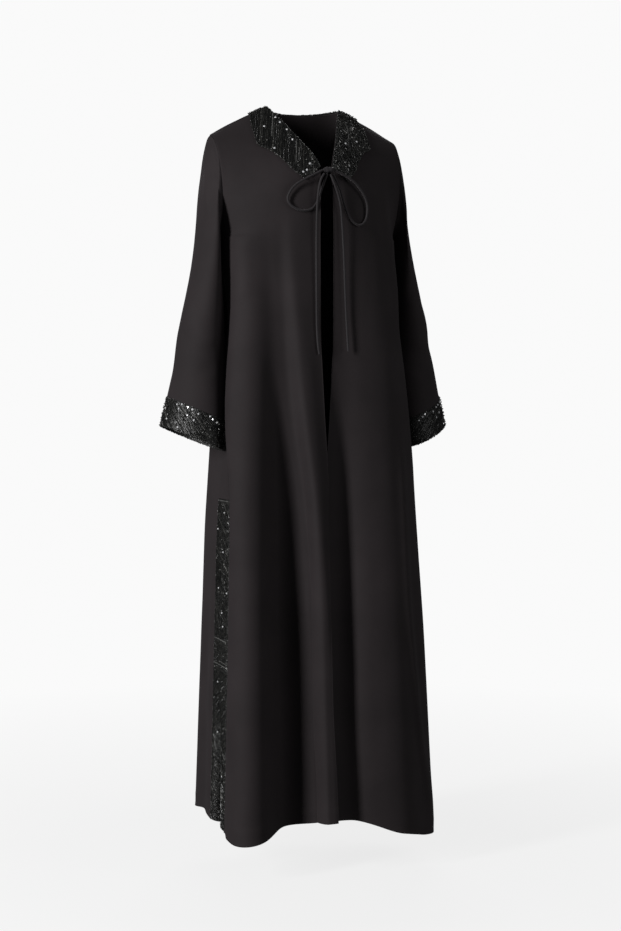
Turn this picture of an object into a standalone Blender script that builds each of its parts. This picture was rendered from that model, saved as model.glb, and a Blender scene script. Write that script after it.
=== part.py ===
"""Open-front abaya cloak of heavy crepe, tied at the neck with a bow of round cord.

Metres, +Z up, the front towards -Y and the wearer's right side at -X. The origin is midway between
the two neck points of the shoulder seams, where the wearer's shoulders hold the cloak up. Each cut
piece is a thin wall on its own grid of points: body rings and sleeve loops are worked out from short
tables of sections, the folds are added to them, and Solidify gives the cloth its thickness.
"""

import math
from collections import namedtuple

import bpy
from mathutils import Vector

CREPE = 0.0016  # wall of the plain cloth
BEADED = 0.0024  # wall of the beaded net on its backing
SEAM = 0.0003  # gap between two sewn pieces
MITRE = 0.0017  # gap where a seam turns a corner, so that the two walls stay clear
UNDERARM = -0.27  # height of the underarm
STRIP_TOP = -0.80  # height of the side panels' upper edge
NECK_HALF = 0.080  # half of the distance between the neck points
BACK_SHARE = 0.86  # share of the back's half width that ends at the side panel
COLLAR_REST = 0.0016  # gap between the collar and the cloth that it lies on
SHOULDER_CURVE = 1.2  # power of the shoulder line's fall from the neck point to the shoulder tip
ARMHOLE_FLATTENING = 38  # degrees by which the yoke's arcs fall short of the side half-way down
YOKE_BLEND = 0.45  # share of the yoke over which the back's upper edge turns into its ring
YOKE = (0, 0.07, 0.18, 0.32, 0.46, 0.60, 0.73, 0.86, 1.0)  # rows from the neck to the underarm
FRONT_COLUMNS = 12  # columns of a front panel, a side panel, and half of the back inside the collar
STRIP_COLUMNS = 3
NECK_COLUMNS = 5
CORD = 0.0045  # diameter of the ties

# A level section of the body: half width, depth in front and behind, how square each of those two
# halves is, and the sideways lean.
Ring = namedtuple("Ring", "z half_width front back square back_square lean")
RINGS = (
    Ring(-0.27, 0.190, 0.134, 0.125, 2.6, 2.6, 0.000),
    Ring(-0.45, 0.196, 0.142, 0.128, 2.9, 2.5, 0.001),
    Ring(-0.60, 0.203, 0.148, 0.132, 3.1, 2.4, 0.004),
    Ring(-0.80, 0.214, 0.156, 0.145, 3.2, 2.3, 0.010),
    Ring(-1.02, 0.224, 0.166, 0.162, 3.1, 2.3, 0.015),
    Ring(-1.25, 0.234, 0.176, 0.180, 3.0, 2.3, 0.018),
    Ring(-1.50, 0.243, 0.186, 0.198, 2.9, 2.4, 0.021),
)

# The front edge from the neck point (down 0) to the underarm's height (down 1).
Edge = namedtuple("Edge", "down x y z square")
FRONT_EDGE = (
    Edge(0.00, 0.0800, 0.000, 0.000, 2.0),
    Edge(0.15, 0.0650, -0.028, -0.024, 2.0),
    Edge(0.30, 0.0500, -0.060, -0.054, 2.0),
    Edge(0.45, 0.0340, -0.090, -0.084, 2.1),
    Edge(0.58, 0.0200, -0.114, -0.111, 2.2),
    Edge(0.68, 0.0125, -0.127, -0.136, 2.4),
    Edge(0.84, 0.0135, -0.133, -0.200, 2.5),
    Edge(1.00, 0.0150, -0.134, -0.270, 2.6),
)

# The middle of the back from the neckline (down 0) to the underarm's height (down 1).
Spine = namedtuple("Spine", "down y z square")
BACK_MIDDLE = (
    Spine(0.00, 0.058, -0.004, 2.0),
    Spine(0.18, 0.076, -0.040, 2.0),
    Spine(0.38, 0.098, -0.090, 2.1),
    Spine(0.56, 0.113, -0.135, 2.3),
    Spine(0.70, 0.120, -0.175, 2.4),
    Spine(0.85, 0.124, -0.220, 2.5),
    Spine(1.00, 0.125, -0.270, 2.6),
)

# Half of the gap between the two front edges, and how far their middle has swung sideways.
Gap = namedtuple("Gap", "z half swing")
FRONT_GAP = (
    Gap(-0.27, 0.0150, 0.000),
    Gap(-0.45, 0.0150, -0.003),
    Gap(-0.60, 0.0090, -0.008),
    Gap(-0.78, 0.0014, -0.016),
    Gap(-1.02, 0.0012, -0.026),
    Gap(-1.20, 0.0012, -0.026),
    Gap(-1.38, 0.0020, -0.021),
    Gap(-1.50, 0.0065, -0.016),
)

# Folds that run down to the hem: angle round the ring where each begins and at the hem (0 is the
# front edge, 90 the wearer's left side, 180 the back), half width in degrees, depth (out is plus),
# the height where it begins and the height where it is full.
Fold = namedtuple("Fold", "begins at_hem half depth top full")
FOLDS = (
    Fold(-11, -8, 7, 0.010, -0.35, -1.10),
    Fold(-29, -25, 9, -0.028, -0.28, -1.25),
    Fold(-50, -45, 10, 0.014, -0.45, -1.15),
    Fold(-70, -70, 4, -0.013, -1.12, -1.40),
    Fold(-92, -97, 9, -0.008, -0.70, -1.20),
    Fold(-118, -124, 13, 0.006, -0.35, -1.20),
    Fold(-148, -150, 11, -0.020, -0.28, -1.20),
    Fold(180, 178, 14, 0.014, -0.28, -1.15),
    Fold(150, 146, 12, -0.018, -0.30, -1.10),
    Fold(120, 118, 12, 0.010, -0.40, -1.20),
    Fold(92, 96, 9, -0.009, -0.70, -1.15),
    Fold(70, 70, 4, -0.012, -1.12, -1.40),
    Fold(52, 50, 7, 0.010, -0.60, -1.20),
    Fold(28, 27, 11, 0.010, -0.30, -1.10),
    Fold(9, 10, 6, -0.014, -0.40, -1.20),
)

# Where the hanging arms press the body in and push a fold out in front of them: angle, half width,
# depth, and the heights where it begins, is deepest and is gone.
Press = namedtuple("Press", "angle half depth top deepest bottom")
PRESSES = (
    Press(-90, 25, -0.034, -0.27, -0.46, -0.92),
    Press(-56, 8, 0.010, -0.30, -0.60, -0.95),
    Press(90, 25, -0.034, -0.27, -0.46, -0.92),
    Press(56, 8, 0.008, -0.30, -0.60, -0.95),
)

# The lower edge all the way round.
Hem = namedtuple("Hem", "angle z")
HEM = (
    Hem(-180, -1.458),
    Hem(-150, -1.448),
    Hem(-122, -1.462),
    Hem(-95, -1.452),
    Hem(-69, -1.466),
    Hem(-46, -1.492),
    Hem(-25, -1.466),
    Hem(-9, -1.458),
    Hem(0, -1.456),
    Hem(10, -1.458),
    Hem(28, -1.490),
    Hem(50, -1.508),
    Hem(72, -1.474),
    Hem(94, -1.454),
    Hem(120, -1.464),
    Hem(148, -1.450),
    Hem(180, -1.458),
)

# Angle of the side-front seam, which is the side panel's front edge, from the underarm (down 1)
# past the side panel's top (down 2) to the hem (down 3).
Seam = namedtuple("Seam", "down angle")
SIDE_SEAM = (
    Seam(1.0, 90),
    Seam(1.4, 78),
    Seam(1.7, 66),
    Seam(2.0, 58),
    Seam(2.5, 59),
    Seam(3.0, 61),
)

# Loops of the wearer's left sleeve: the outer and the inner point, half of the depth across them,
# how far that depth has turned from the front towards the outside, and how much higher its front is.
Loop = namedtuple("Loop", "along ox oy oz ix iy iz half_depth turn tilt")
SLEEVE = (
    Loop(0.00, 0.2030, 0.000, -0.060, 0.1900, 0.000, -0.270, 0.056, 0, 0.000),
    Loop(0.05, 0.2060, 0.000, -0.078, 0.1980, 0.000, -0.272, 0.059, 0, 0.000),
    Loop(0.14, 0.2100, 0.000, -0.118, 0.2010, 0.000, -0.293, 0.063, 1, 0.000),
    Loop(0.30, 0.2180, 0.002, -0.205, 0.1940, -0.004, -0.350, 0.068, 4, 0.000),
    Loop(0.50, 0.2330, 0.006, -0.320, 0.1850, -0.018, -0.428, 0.070, 12, 0.002),
    Loop(0.72, 0.2560, 0.012, -0.440, 0.1880, -0.042, -0.515, 0.061, 26, 0.005),
    Loop(1.00, 0.2910, 0.020, -0.596, 0.2070, -0.070, -0.640, 0.047, 40, 0.010),
    Loop(1.14, 0.3060, 0.022, -0.655, 0.2150, -0.076, -0.698, 0.044, 42, 0.012),
)
CUFF_TOP = 1.00  # along the sleeve, where the beaded cuff begins and ends
CUFF_END = 1.14

# The collar from the middle of the back neck (along 0) over the shoulder seam (along 0.36) to its
# square front end (along 1): where its two edges lie on the back panel and on the front panel.
Collar = namedtuple("Collar", "along neck_across neck_down outer_across outer_down")
COLLAR_BACK = (
    Collar(0.00, 0.00, 0.00, 0.00, 0.200),
    Collar(0.18, 0.20, 0.00, 0.36, 0.170),
    Collar(0.36, 0.40, 0.00, 0.59, 0.000),
)
COLLAR_FRONT = (
    Collar(0.36, 0.00, 0.00, 0.19, 0.000),
    Collar(0.44, 0.00, 0.13, 0.36, 0.190),
    Collar(0.53, 0.00, 0.25, 0.43, 0.330),
    Collar(0.64, 0.00, 0.35, 0.35, 0.405),
    Collar(0.76, 0.00, 0.45, 0.29, 0.510),
    Collar(0.88, 0.00, 0.56, 0.245, 0.620),
    Collar(1.00, 0.00, 0.66, 0.165, 0.705),
)
NECK_SHARE = COLLAR_BACK[-1].neck_across  # share of the back's half width inside the neck points

# Routes of the tie, from the knot outwards: the loops run back to it, the tails hang free.
KNOT = (0.0, -0.1425, -0.1355)
KNOT_HALF = (0.0130, 0.0050, 0.0055)
TIES = {
    "bow_loop_right": (
        (-0.0140, -0.1425, -0.1368),
        (-0.0300, -0.1405, -0.1450),
        (-0.0495, -0.1385, -0.1549),
        (-0.0660, -0.1355, -0.1650),
        (-0.0775, -0.1335, -0.1770),
        (-0.0845, -0.1320, -0.1935),
        (-0.0800, -0.1330, -0.2060),
        (-0.0660, -0.1350, -0.2150),
        (-0.0500, -0.1365, -0.2180),
        (-0.0340, -0.1375, -0.2135),
        (-0.0220, -0.1380, -0.1980),
        (-0.0140, -0.1385, -0.1760),
        (-0.0070, -0.1400, -0.1560),
        (-0.0025, -0.1420, -0.1432),
    ),
    "bow_loop_left": (
        (0.0140, -0.1425, -0.1368),
        (0.0260, -0.1412, -0.1415),
        (0.0400, -0.1400, -0.1475),
        (0.0594, -0.1385, -0.1590),
        (0.0770, -0.1345, -0.1770),
        (0.0865, -0.1325, -0.1930),
        (0.0900, -0.1320, -0.2090),
        (0.0875, -0.1325, -0.2290),
        (0.0790, -0.1345, -0.2410),
        (0.0680, -0.1360, -0.2440),
        (0.0560, -0.1370, -0.2380),
        (0.0440, -0.1380, -0.2230),
        (0.0350, -0.1385, -0.2020),
        (0.0265, -0.1390, -0.1760),
        (0.0175, -0.1400, -0.1570),
        (0.0105, -0.1415, -0.1448),
    ),
    "tie_tail_right": (
        (-0.0100, -0.1440, -0.1432),
        (-0.0165, -0.1445, -0.1530),
        (-0.0210, -0.1445, -0.1680),
        (-0.0240, -0.1440, -0.1900),
        (-0.0255, -0.1430, -0.2200),
        (-0.0262, -0.1428, -0.2600),
        (-0.0268, -0.1435, -0.3000),
        (-0.0272, -0.1448, -0.3500),
        (-0.0276, -0.1465, -0.4000),
        (-0.0278, -0.1485, -0.4500),
        (-0.0262, -0.1500, -0.4850),
        (-0.0235, -0.1505, -0.5060),
    ),
    "tie_tail_left": (
        (0.0035, -0.1440, -0.1440),
        (0.0085, -0.1448, -0.1560),
        (0.0150, -0.1448, -0.1720),
        (0.0215, -0.1440, -0.1900),
        (0.0270, -0.1432, -0.2150),
        (0.0300, -0.1428, -0.2500),
        (0.0325, -0.1430, -0.2900),
        (0.0340, -0.1438, -0.3300),
        (0.0352, -0.1450, -0.3750),
        (0.0366, -0.1465, -0.4200),
        (0.0384, -0.1485, -0.4650),
        (0.0400, -0.1500, -0.5000),
    ),
}


def through(table, column, key, place):
    """Reads a column of a table at a place along its key column, on a smooth curve through the rows."""
    keys = [getattr(row, key) for row in table]
    values = [getattr(row, column) for row in table]
    if keys[0] > keys[-1]:
        keys.reverse()
        values.reverse()
    place = min(max(place, keys[0]), keys[-1])
    i = max(k for k in range(len(keys) - 1) if keys[k] <= place)
    slopes = [(values[k + 1] - values[k]) / (keys[k + 1] - keys[k]) for k in range(len(keys) - 1)]

    def tangent(k):
        if k == 0 or k == len(slopes):
            return slopes[min(k, len(slopes) - 1)]
        before, after = slopes[k - 1], slopes[k]
        return 0.0 if before * after <= 0 else 2 * before * after / (before + after)

    span = keys[i + 1] - keys[i]
    t = (place - keys[i]) / span
    return (
        values[i] * (1 + 2 * t) * (1 - t) ** 2
        + values[i + 1] * t * t * (3 - 2 * t)
        + tangent(i) * span * t * (1 - t) ** 2
        - tangent(i + 1) * span * t * t * (1 - t)
    )


def ease(t):
    t = min(max(t, 0.0), 1.0)
    return t * t * (3 - 2 * t)


def arc(turn, square):
    """A point of a unit arc with squared corners: across and forward, turn in degrees from the front."""
    s = abs(math.sin(math.radians(turn)))
    c = abs(math.cos(math.radians(turn)))
    size = (s**square + c**square) ** (-1 / square)
    return s * size, c * size


def yoke_arc(across, down, square):
    """The same for a part of that arc, stretched to a whole one, so that the yoke meets the armhole
    nearly flat half-way down it and turns all the way to the side at the shoulder and the underarm."""
    reach = 90 - ARMHOLE_FLATTENING * math.sin(math.pi * down)
    sideways, forward = arc(reach * across, square)
    most, least = arc(reach, square)
    return sideways / most, (forward - least) / (1 - least)


def fold_height(angle, z):
    """How far the folds move the body out at a signed angle from the front edge."""
    total = 0.0
    for fold in FOLDS:
        grown = ease((fold.top - z) / (fold.top - fold.full))
        centre = fold.begins + (fold.at_hem - fold.begins) * grown
        away = (angle - centre + 180) % 360 - 180
        total += fold.depth * grown * math.exp(-((away / fold.half) ** 2))
    for press in PRESSES:
        end = press.top if z > press.deepest else press.bottom
        grown = ease((end - z) / (end - press.deepest))
        total += press.depth * grown * math.exp(-(((angle - press.angle) / press.half) ** 2))
    return total


def ring_point(side, turn, z):
    """A point of the body below the underarms: turn 0 is the front edge, 90 the side, 180 the back."""
    width = through(RINGS, "half_width", "z", z)
    lean = through(RINGS, "lean", "z", z)
    if turn < 90:
        across, along = arc(turn, through(RINGS, "square", "z", z))
        gap = through(FRONT_GAP, "half", "z", z)
        x = gap + (width - gap) * across
        y = -through(RINGS, "front", "z", z) * along
        lean += through(FRONT_GAP, "swing", "z", z) * (1 - across)
    else:
        across, along = arc(turn, through(RINGS, "back_square", "z", z))
        x = width * across
        y = through(RINGS, "back", "z", z) * along
    rise = fold_height(side * turn, z)
    x += rise * math.sin(math.radians(turn))
    y -= rise * math.cos(math.radians(turn))
    return Vector((side * x + lean, y, z))


def skirt_height(angle, down):
    """Height of a point of the skirt: down 1 at the underarm, 2 at the side panels' top, 3 at the hem."""
    if down <= 2:
        return UNDERARM + (STRIP_TOP - UNDERARM) * (down - 1)
    return STRIP_TOP + (through(HEM, "z", "angle", angle) - STRIP_TOP) * (down - 2)


def sleeve_point(along, turn):
    """A point of the left sleeve: turn 0 is the outer line, 90 the front, 180 the inner line."""
    loop = {name: through(SLEEVE, name, "along", along) for name in Loop._fields[1:]}
    outer = Vector((loop["ox"], loop["oy"], loop["oz"]))
    inner = Vector((loop["ix"], loop["iy"], loop["iz"]))
    twist = math.radians(loop["turn"])
    front = Vector((math.sin(twist), -math.cos(twist), 0)) * loop["half_depth"]
    front.z = loop["tilt"]
    angle = math.radians(turn)
    return (outer + inner) / 2 + (outer - inner) / 2 * math.cos(angle) + front * math.sin(angle)


def on_side(side, point):
    """A point of the left sleeve, put on one side of the leaning body."""
    return Vector((side * point.x + through(RINGS, "lean", "z", point.z), point.y, point.z))


def front_point(side, across, down):
    """A point of a front panel: across 0 at the front edge and 1 at the armhole and side seam."""
    if down >= 1:
        turn = across * through(SIDE_SEAM, "angle", "down", down)
        return ring_point(side, turn, skirt_height(side * turn, down))
    edge = {name: through(FRONT_EDGE, name, "down", down) for name in Edge._fields[1:]}
    arm = sleeve_point(0, 180 * down)
    sideways, forward = yoke_arc(across, down, edge["square"])
    x = edge["x"] + (arm.x - edge["x"]) * sideways
    y = arm.y + (edge["y"] - arm.y) * forward
    return Vector((side * x, y, edge["z"] + (arm.z - edge["z"]) * sideways**SHOULDER_CURVE))


def back_edge(across):
    """The back's upper edge: round the back of the neck, then along the shoulder seam."""
    if across <= NECK_SHARE:
        turn = math.radians(90 * across / NECK_SHARE)
        middle = BACK_MIDDLE[0]
        return Vector((NECK_HALF * math.sin(turn), middle.y * math.cos(turn), middle.z * math.cos(turn)))
    tip = sleeve_point(0, 0)
    along = (across - NECK_SHARE) / (1 - NECK_SHARE)
    return Vector((NECK_HALF + (tip.x - NECK_HALF) * along, 0, tip.z * along**SHOULDER_CURVE))


def back_point(side, across, down):
    """A point of one half of the back: across 0 down the middle, 1 at the armhole and side seam."""
    if down >= 1:
        turn = 180 - across * (180 - through(SIDE_SEAM, "angle", "down", down))
        return ring_point(side, turn, skirt_height(side * turn, down))
    middle = {name: through(BACK_MIDDLE, name, "down", down) for name in Spine._fields[1:]}
    arm = sleeve_point(0, -180 * down)
    sideways, backward = yoke_arc(across, down, middle["square"])
    point = Vector((
        arm.x * sideways,
        arm.y + (middle["y"] - arm.y) * backward,
        middle["z"] + (arm.z - middle["z"]) * sideways**SHOULDER_CURVE,
    ))
    point = back_edge(across).lerp(point, math.sin(math.pi / 2 * min(down / YOKE_BLEND, 1)))
    return Vector((side * point.x, point.y, point.z))


def collar_point(side, along, across):
    """A point under the collar, on the panels: across 0 at the neck edge, 1 at the outer edge."""
    behind = along <= COLLAR_BACK[-1].along
    table = COLLAR_BACK if behind else COLLAR_FRONT
    here = {name: through(table, name, "along", along) for name in Collar._fields[1:]}
    sideways = here["neck_across"] + (here["outer_across"] - here["neck_across"]) * across
    down = here["neck_down"] + (here["outer_down"] - here["neck_down"]) * across
    return (back_point if behind else front_point)(side, sideways, down)


def steps(first, last, count):
    return [first + (last - first) * k / count for k in range(count + 1)]


def trim_top(rows, widths):
    """Draws the first row of a grid of points in by a width for each point, to leave a seam's gap."""
    rows[0] = [p + (q - p).normalized() * width for p, q, width in zip(rows[0], rows[1], widths)]


def trim_side(rows, edge, inner, widths):
    """The same for the first or last column, with a width for each row."""
    for row, width in zip(rows, widths):
        row[edge] = row[edge] + (row[inner] - row[edge]).normalized() * width


def moved_out(rows, distance):
    """The same grid of points, moved along its own normals, away from the body's middle."""
    moved = []
    for r, row in enumerate(rows):
        above, below = rows[max(r - 1, 0)], rows[min(r + 1, len(rows) - 1)]
        line = []
        for c, point in enumerate(row):
            across = row[min(c + 1, len(row) - 1)] - row[max(c - 1, 0)]
            normal = across.cross(below[c] - above[c]).normalized()
            outward = Vector((point.x, point.y, 0.1))
            line.append(point + normal * math.copysign(distance, normal.dot(outward)))
        moved.append(line)
    return moved


def cloth(name, rows, thickness, finish, closed=False, keep=None):
    """A wall of cloth on a grid of points, with half of its thickness on each side of them."""
    wide = len(rows[0])
    faces = []
    for r in range(len(rows) - 1):
        for c in range(wide if closed else wide - 1):
            n = (c + 1) % wide
            if keep is None or keep(r, c):
                faces.append((r * wide + c, (r + 1) * wide + c, (r + 1) * wide + n, r * wide + n))
    used = sorted({corner for face in faces for corner in face})
    order = {corner: k for k, corner in enumerate(used)}
    mesh = bpy.data.meshes.new(name)
    mesh.from_pydata(
        [rows[corner // wide][corner % wide] for corner in used],
        [],
        [[order[corner] for corner in face] for face in faces],
    )
    mesh.materials.append(finish)
    mesh.shade_smooth()
    obj = bpy.data.objects.new(name, mesh)
    cloak.objects.link(obj)
    wall = obj.modifiers.new("Wall", "SOLIDIFY")
    wall.thickness = thickness
    wall.offset = 0
    return obj


def smooth_route(points, spacing):
    """Evenly spaced points on a smooth curve through the route's own points."""
    knots = [Vector(p) for p in points]
    knots = [2 * knots[0] - knots[1], *knots, 2 * knots[-1] - knots[-2]]
    fine = []
    for a, b, c, d in zip(knots, knots[1:], knots[2:], knots[3:]):
        for t in steps(0, 1, 16)[:-1]:
            fine.append(0.5 * (2 * b + (c - a) * t + (2 * a - 5 * b + 4 * c - d) * t**2
                               + (3 * b - a - 3 * c + d) * t**3))
    fine.append(knots[-2])
    lengths = [0.0]
    for a, b in zip(fine, fine[1:]):
        lengths.append(lengths[-1] + (b - a).length)
    count = round(lengths[-1] / spacing)
    route = []
    for place in steps(0, lengths[-1], count):
        k = max(i for i in range(len(fine) - 1) if lengths[i] <= place)
        route.append(fine[k].lerp(fine[k + 1], (place - lengths[k]) / (lengths[k + 1] - lengths[k])))
    return route


def cord(name, points, finish):
    curve = bpy.data.curves.new(name, "CURVE")
    curve.dimensions = "3D"
    curve.bevel_depth = CORD / 2
    curve.bevel_resolution = 2
    curve.use_fill_caps = True
    route = smooth_route(points, 2.5 * CORD)
    spline = curve.splines.new("POLY")
    spline.points.add(len(route) - 1)
    for spot, point in zip(spline.points, route):
        spot.co = (*point, 1)
    curve.materials.append(finish)
    obj = bpy.data.objects.new(name, curve)
    cloak.objects.link(obj)


def material(name, colour, roughness):
    made = bpy.data.materials.new(name)
    made.use_nodes = True
    shader = made.node_tree.nodes["Principled BSDF"]
    shader.inputs["Base Color"].default_value = (*colour, 1)
    shader.inputs["Roughness"].default_value = roughness
    shader.inputs["Metallic"].default_value = 0
    return made


def side_gaps(downs):
    """Half of the gap down a panel's side: along the armhole, then along the side seam."""
    return [MITRE / 2 if down < 1 else SEAM / 2 for down in downs]


def front_panel(side, name, finish):
    columns = steps(0, 1, FRONT_COLUMNS)
    rows = [[front_point(side, across, down) for across in columns] for down in DOWN]
    trim_top(rows, [MITRE / 2] * len(columns))
    trim_side(rows, -1, -2, side_gaps(DOWN))
    return cloth(name, rows, CREPE, finish)


def back_panel(finish):
    """One piece behind: beside each side panel its edge steps back by the side panel's width."""
    half = steps(0, NECK_SHARE, NECK_COLUMNS)[:-1] + steps(NECK_SHARE, BACK_SHARE, 5)[:-1]
    half += steps(BACK_SHARE, 1, STRIP_COLUMNS)
    columns = [(-1, across) for across in reversed(half)] + [(1, across) for across in half[1:]]
    rows = [[back_point(side, across, down) for side, across in columns] for down in DOWN]
    trim_top(rows, [MITRE / 2] * len(columns))
    trim_side(rows, 0, 1, side_gaps(DOWN))
    trim_side(rows, -1, -2, side_gaps(DOWN))
    strip_row = DOWN.index(2.0)
    last = len(columns) - 1 - STRIP_COLUMNS

    def keep(r, c):
        return r < strip_row or STRIP_COLUMNS <= c < last

    return cloth("back", rows, CREPE, finish, keep=keep)


def side_panel(side, name, finish):
    downs = [down for down in DOWN if down >= 2]
    columns = steps(BACK_SHARE, 1, STRIP_COLUMNS)
    rows = [[back_point(side, across, down) for across in columns] for down in downs]
    trim_top(rows, [MITRE / 2] * len(columns))
    trim_side(rows, 0, 1, [MITRE / 2] * len(rows))
    trim_side(rows, -1, -2, [MITRE / 2] * len(rows))
    return cloth(name, rows, BEADED, finish)


def sleeve(side, name, alongs, gaps, thickness, finish):
    """A stretch of a sleeve, a closed loop at each place along it."""
    rows = [[on_side(side, sleeve_point(along, turn)) for turn in TURNS] for along in alongs]
    trim_top(rows, gaps)
    return cloth(name, rows, thickness, finish, closed=True)


def collar(side, name, finish):
    shoulder = COLLAR_BACK[-1].along
    alongs = steps(0, shoulder, NECK_COLUMNS)[:-1] + steps(shoulder, 1, 12)
    rows = [[collar_point(side, along, across) for across in steps(0, 1, 4)] for along in alongs]
    rows = moved_out(rows, CREPE / 2 + COLLAR_REST + BEADED / 2)
    trim_top(rows, [SEAM / 2] * len(rows[0]))
    return cloth(name, rows, BEADED, finish)


def knot(finish):
    bpy.ops.mesh.primitive_uv_sphere_add(segments=16, ring_count=10, radius=1, location=KNOT)
    obj = bpy.context.object
    obj.name = "tie_knot"
    obj.scale = KNOT_HALF
    bpy.ops.object.transform_apply(location=True, rotation=False, scale=True)
    obj.data.materials.append(finish)
    obj.data.shade_smooth()
    for other in obj.users_collection:
        other.objects.unlink(obj)
    cloak.objects.link(obj)


# The grids that neighbouring pieces share: down the body, along a sleeve and round it.
DOWN = [*YOKE[:-1]] + steps(1, 2, 9)[:-1] + steps(2, 3, 11)
SLEEVE_ALONG = [0, 0.03, 0.07] + steps(0.14, CUFF_TOP, 11)
TURNS = [180 * down for down in YOKE] + [-180 * down for down in reversed(YOKE[1:-1])]
ARMHOLE_GAPS = [MITRE if abs(turn) < 40 or turn == 180 else MITRE / 2 for turn in TURNS]

for old in list(bpy.data.objects):
    bpy.data.objects.remove(old)
cloak = bpy.data.collections.new("abaya_cloak")
bpy.context.scene.collection.children.link(cloak)

crepe = material("black_crepe", (0.028, 0.024, 0.026), 0.75)
beaded = material("beaded_net", (0.030, 0.031, 0.030), 0.35)
tie = material("crepe_cord", (0.030, 0.026, 0.028), 0.7)

for side, word in ((-1, "right"), (1, "left")):
    front_panel(side, "front_" + word, crepe)
    side_panel(side, "side_panel_" + word, beaded)
    sleeve(side, "sleeve_" + word, SLEEVE_ALONG, ARMHOLE_GAPS, CREPE, crepe)
    sleeve(side, "cuff_" + word, steps(CUFF_TOP, CUFF_END, 2), [SEAM] * len(TURNS), BEADED, beaded)
    collar(side, "collar_" + word, beaded)
back_panel(crepe)
knot(tie)
for name, points in TIES.items():
    cord(name, points, tie)
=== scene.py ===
"""Open-front abaya cloak of heavy black crepe with beaded collar, cuffs and side panels.

Metres, +Z up, the front towards -Y and the wearer's right side at -X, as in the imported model.
"""

import bisect
import math
import random
from collections import namedtuple

import bpy
import numpy as np
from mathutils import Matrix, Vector, noise


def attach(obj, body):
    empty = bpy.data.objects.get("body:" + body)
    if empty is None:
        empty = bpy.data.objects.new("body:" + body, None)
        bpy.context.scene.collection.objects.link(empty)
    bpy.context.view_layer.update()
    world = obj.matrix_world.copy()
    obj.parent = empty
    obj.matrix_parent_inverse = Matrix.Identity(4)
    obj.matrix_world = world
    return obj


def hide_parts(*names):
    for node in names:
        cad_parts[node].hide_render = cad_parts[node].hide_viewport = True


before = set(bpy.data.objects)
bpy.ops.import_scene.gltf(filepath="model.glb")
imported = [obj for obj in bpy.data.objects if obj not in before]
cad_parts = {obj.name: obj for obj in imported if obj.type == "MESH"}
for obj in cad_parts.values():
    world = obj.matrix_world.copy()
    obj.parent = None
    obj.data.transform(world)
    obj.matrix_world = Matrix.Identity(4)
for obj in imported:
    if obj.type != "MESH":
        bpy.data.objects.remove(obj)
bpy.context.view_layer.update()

bpy.ops.object.select_all(action="DESELECT")

# ---------------------------------------------------------------------------------------------
# Studio. A pale floor that fades into a white surround, one large soft light high on the left of
# the camera, a weaker one on its right, and a camera at chest height turned a little to the side.

VIEW_SIDE = math.radians(-22)  # the camera stands this far round towards the wearer's right
VIEW_DISTANCE = 4.0
aim = Vector((0.0168 * math.cos(VIEW_SIDE), 0.0168 * math.sin(VIEW_SIDE), -0.739))
stand = Vector((aim.x + VIEW_DISTANCE * math.sin(VIEW_SIDE),
                aim.y - VIEW_DISTANCE * math.cos(VIEW_SIDE), -0.52))
bpy.ops.object.camera_add(location=stand, rotation=(aim - stand).to_track_quat("-Z", "Y").to_euler())
camera = bpy.context.object
camera.name = "camera"
camera.data.sensor_width = 36
camera.data.lens = 73.78
bpy.context.scene.camera = camera
bpy.context.scene.view_settings.view_transform = "Standard"


def softbox(name, place, target, size, watts):
    place = Vector(place)
    turn = (Vector(target) - place).to_track_quat("-Z", "Y").to_euler()
    bpy.ops.object.light_add(type="AREA", location=place, rotation=turn)
    light = bpy.context.object
    light.name = name
    light.data.shape = "RECTANGLE"
    light.data.size, light.data.size_y = size
    light.data.energy = watts


softbox("key", (-4.55, -1.57, 0.6), (0, 0, -0.75), (0.8, 2.6), 222)
softbox("fill", (2.7, -3.2, 0.3), (0, 0, -0.7), (1.6, 2.4), 26)
softbox("back_light", (1.2, 3.2, 1.6), (0, 0, -0.5), (2.4, 1.6), 50)

world = bpy.data.worlds.new("studio")
bpy.context.scene.world = world
world.use_nodes = True
nodes, links = world.node_tree.nodes, world.node_tree.links
shown, lighting = nodes["Background"], nodes.new("ShaderNodeBackground")
shown.inputs["Color"].default_value = (0.955, 0.955, 0.955, 1)
lighting.inputs["Color"].default_value = (0.97, 0.98, 1, 1)
lighting.inputs["Strength"].default_value = 0.08
ray, either = nodes.new("ShaderNodeLightPath"), nodes.new("ShaderNodeMixShader")
links.new(ray.outputs["Is Camera Ray"], either.inputs[0])
links.new(lighting.outputs[0], either.inputs[1])
links.new(shown.outputs[0], either.inputs[2])
links.new(either.outputs[0], nodes["World Output"].inputs[0])

FLOOR = -1.57  # the hem hangs clear of it
bpy.ops.mesh.primitive_circle_add(vertices=96, radius=6, fill_type="TRIFAN", location=(0, 0, FLOOR))
floor = bpy.context.object
floor.name = "floor"
paper = bpy.data.materials.new("studio_floor")
paper.use_nodes = True
nodes, links = paper.node_tree.nodes, paper.node_tree.links
nodes["Principled BSDF"].inputs["Base Color"].default_value = (0.86, 0.86, 0.86, 1)
nodes["Principled BSDF"].inputs["Roughness"].default_value = 0.9
far = nodes.new("ShaderNodeEmission")
far.inputs["Color"].default_value = (0.955, 0.955, 0.955, 1)
where, distance = nodes.new("ShaderNodeTexCoord"), nodes.new("ShaderNodeVectorMath")
distance.operation = "LENGTH"
fade = nodes.new("ShaderNodeMapRange")
fade.inputs["From Min"].default_value = 0.5
fade.inputs["From Max"].default_value = 2.2
fade.inputs["To Min"].default_value = 0.84
blended = nodes.new("ShaderNodeMixShader")
links.new(where.outputs["Object"], distance.inputs[0])
links.new(distance.outputs["Value"], fade.inputs["Value"])
links.new(fade.outputs["Result"], blended.inputs[0])
links.new(nodes["Principled BSDF"].outputs[0], blended.inputs[1])
links.new(far.outputs[0], blended.inputs[2])
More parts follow.
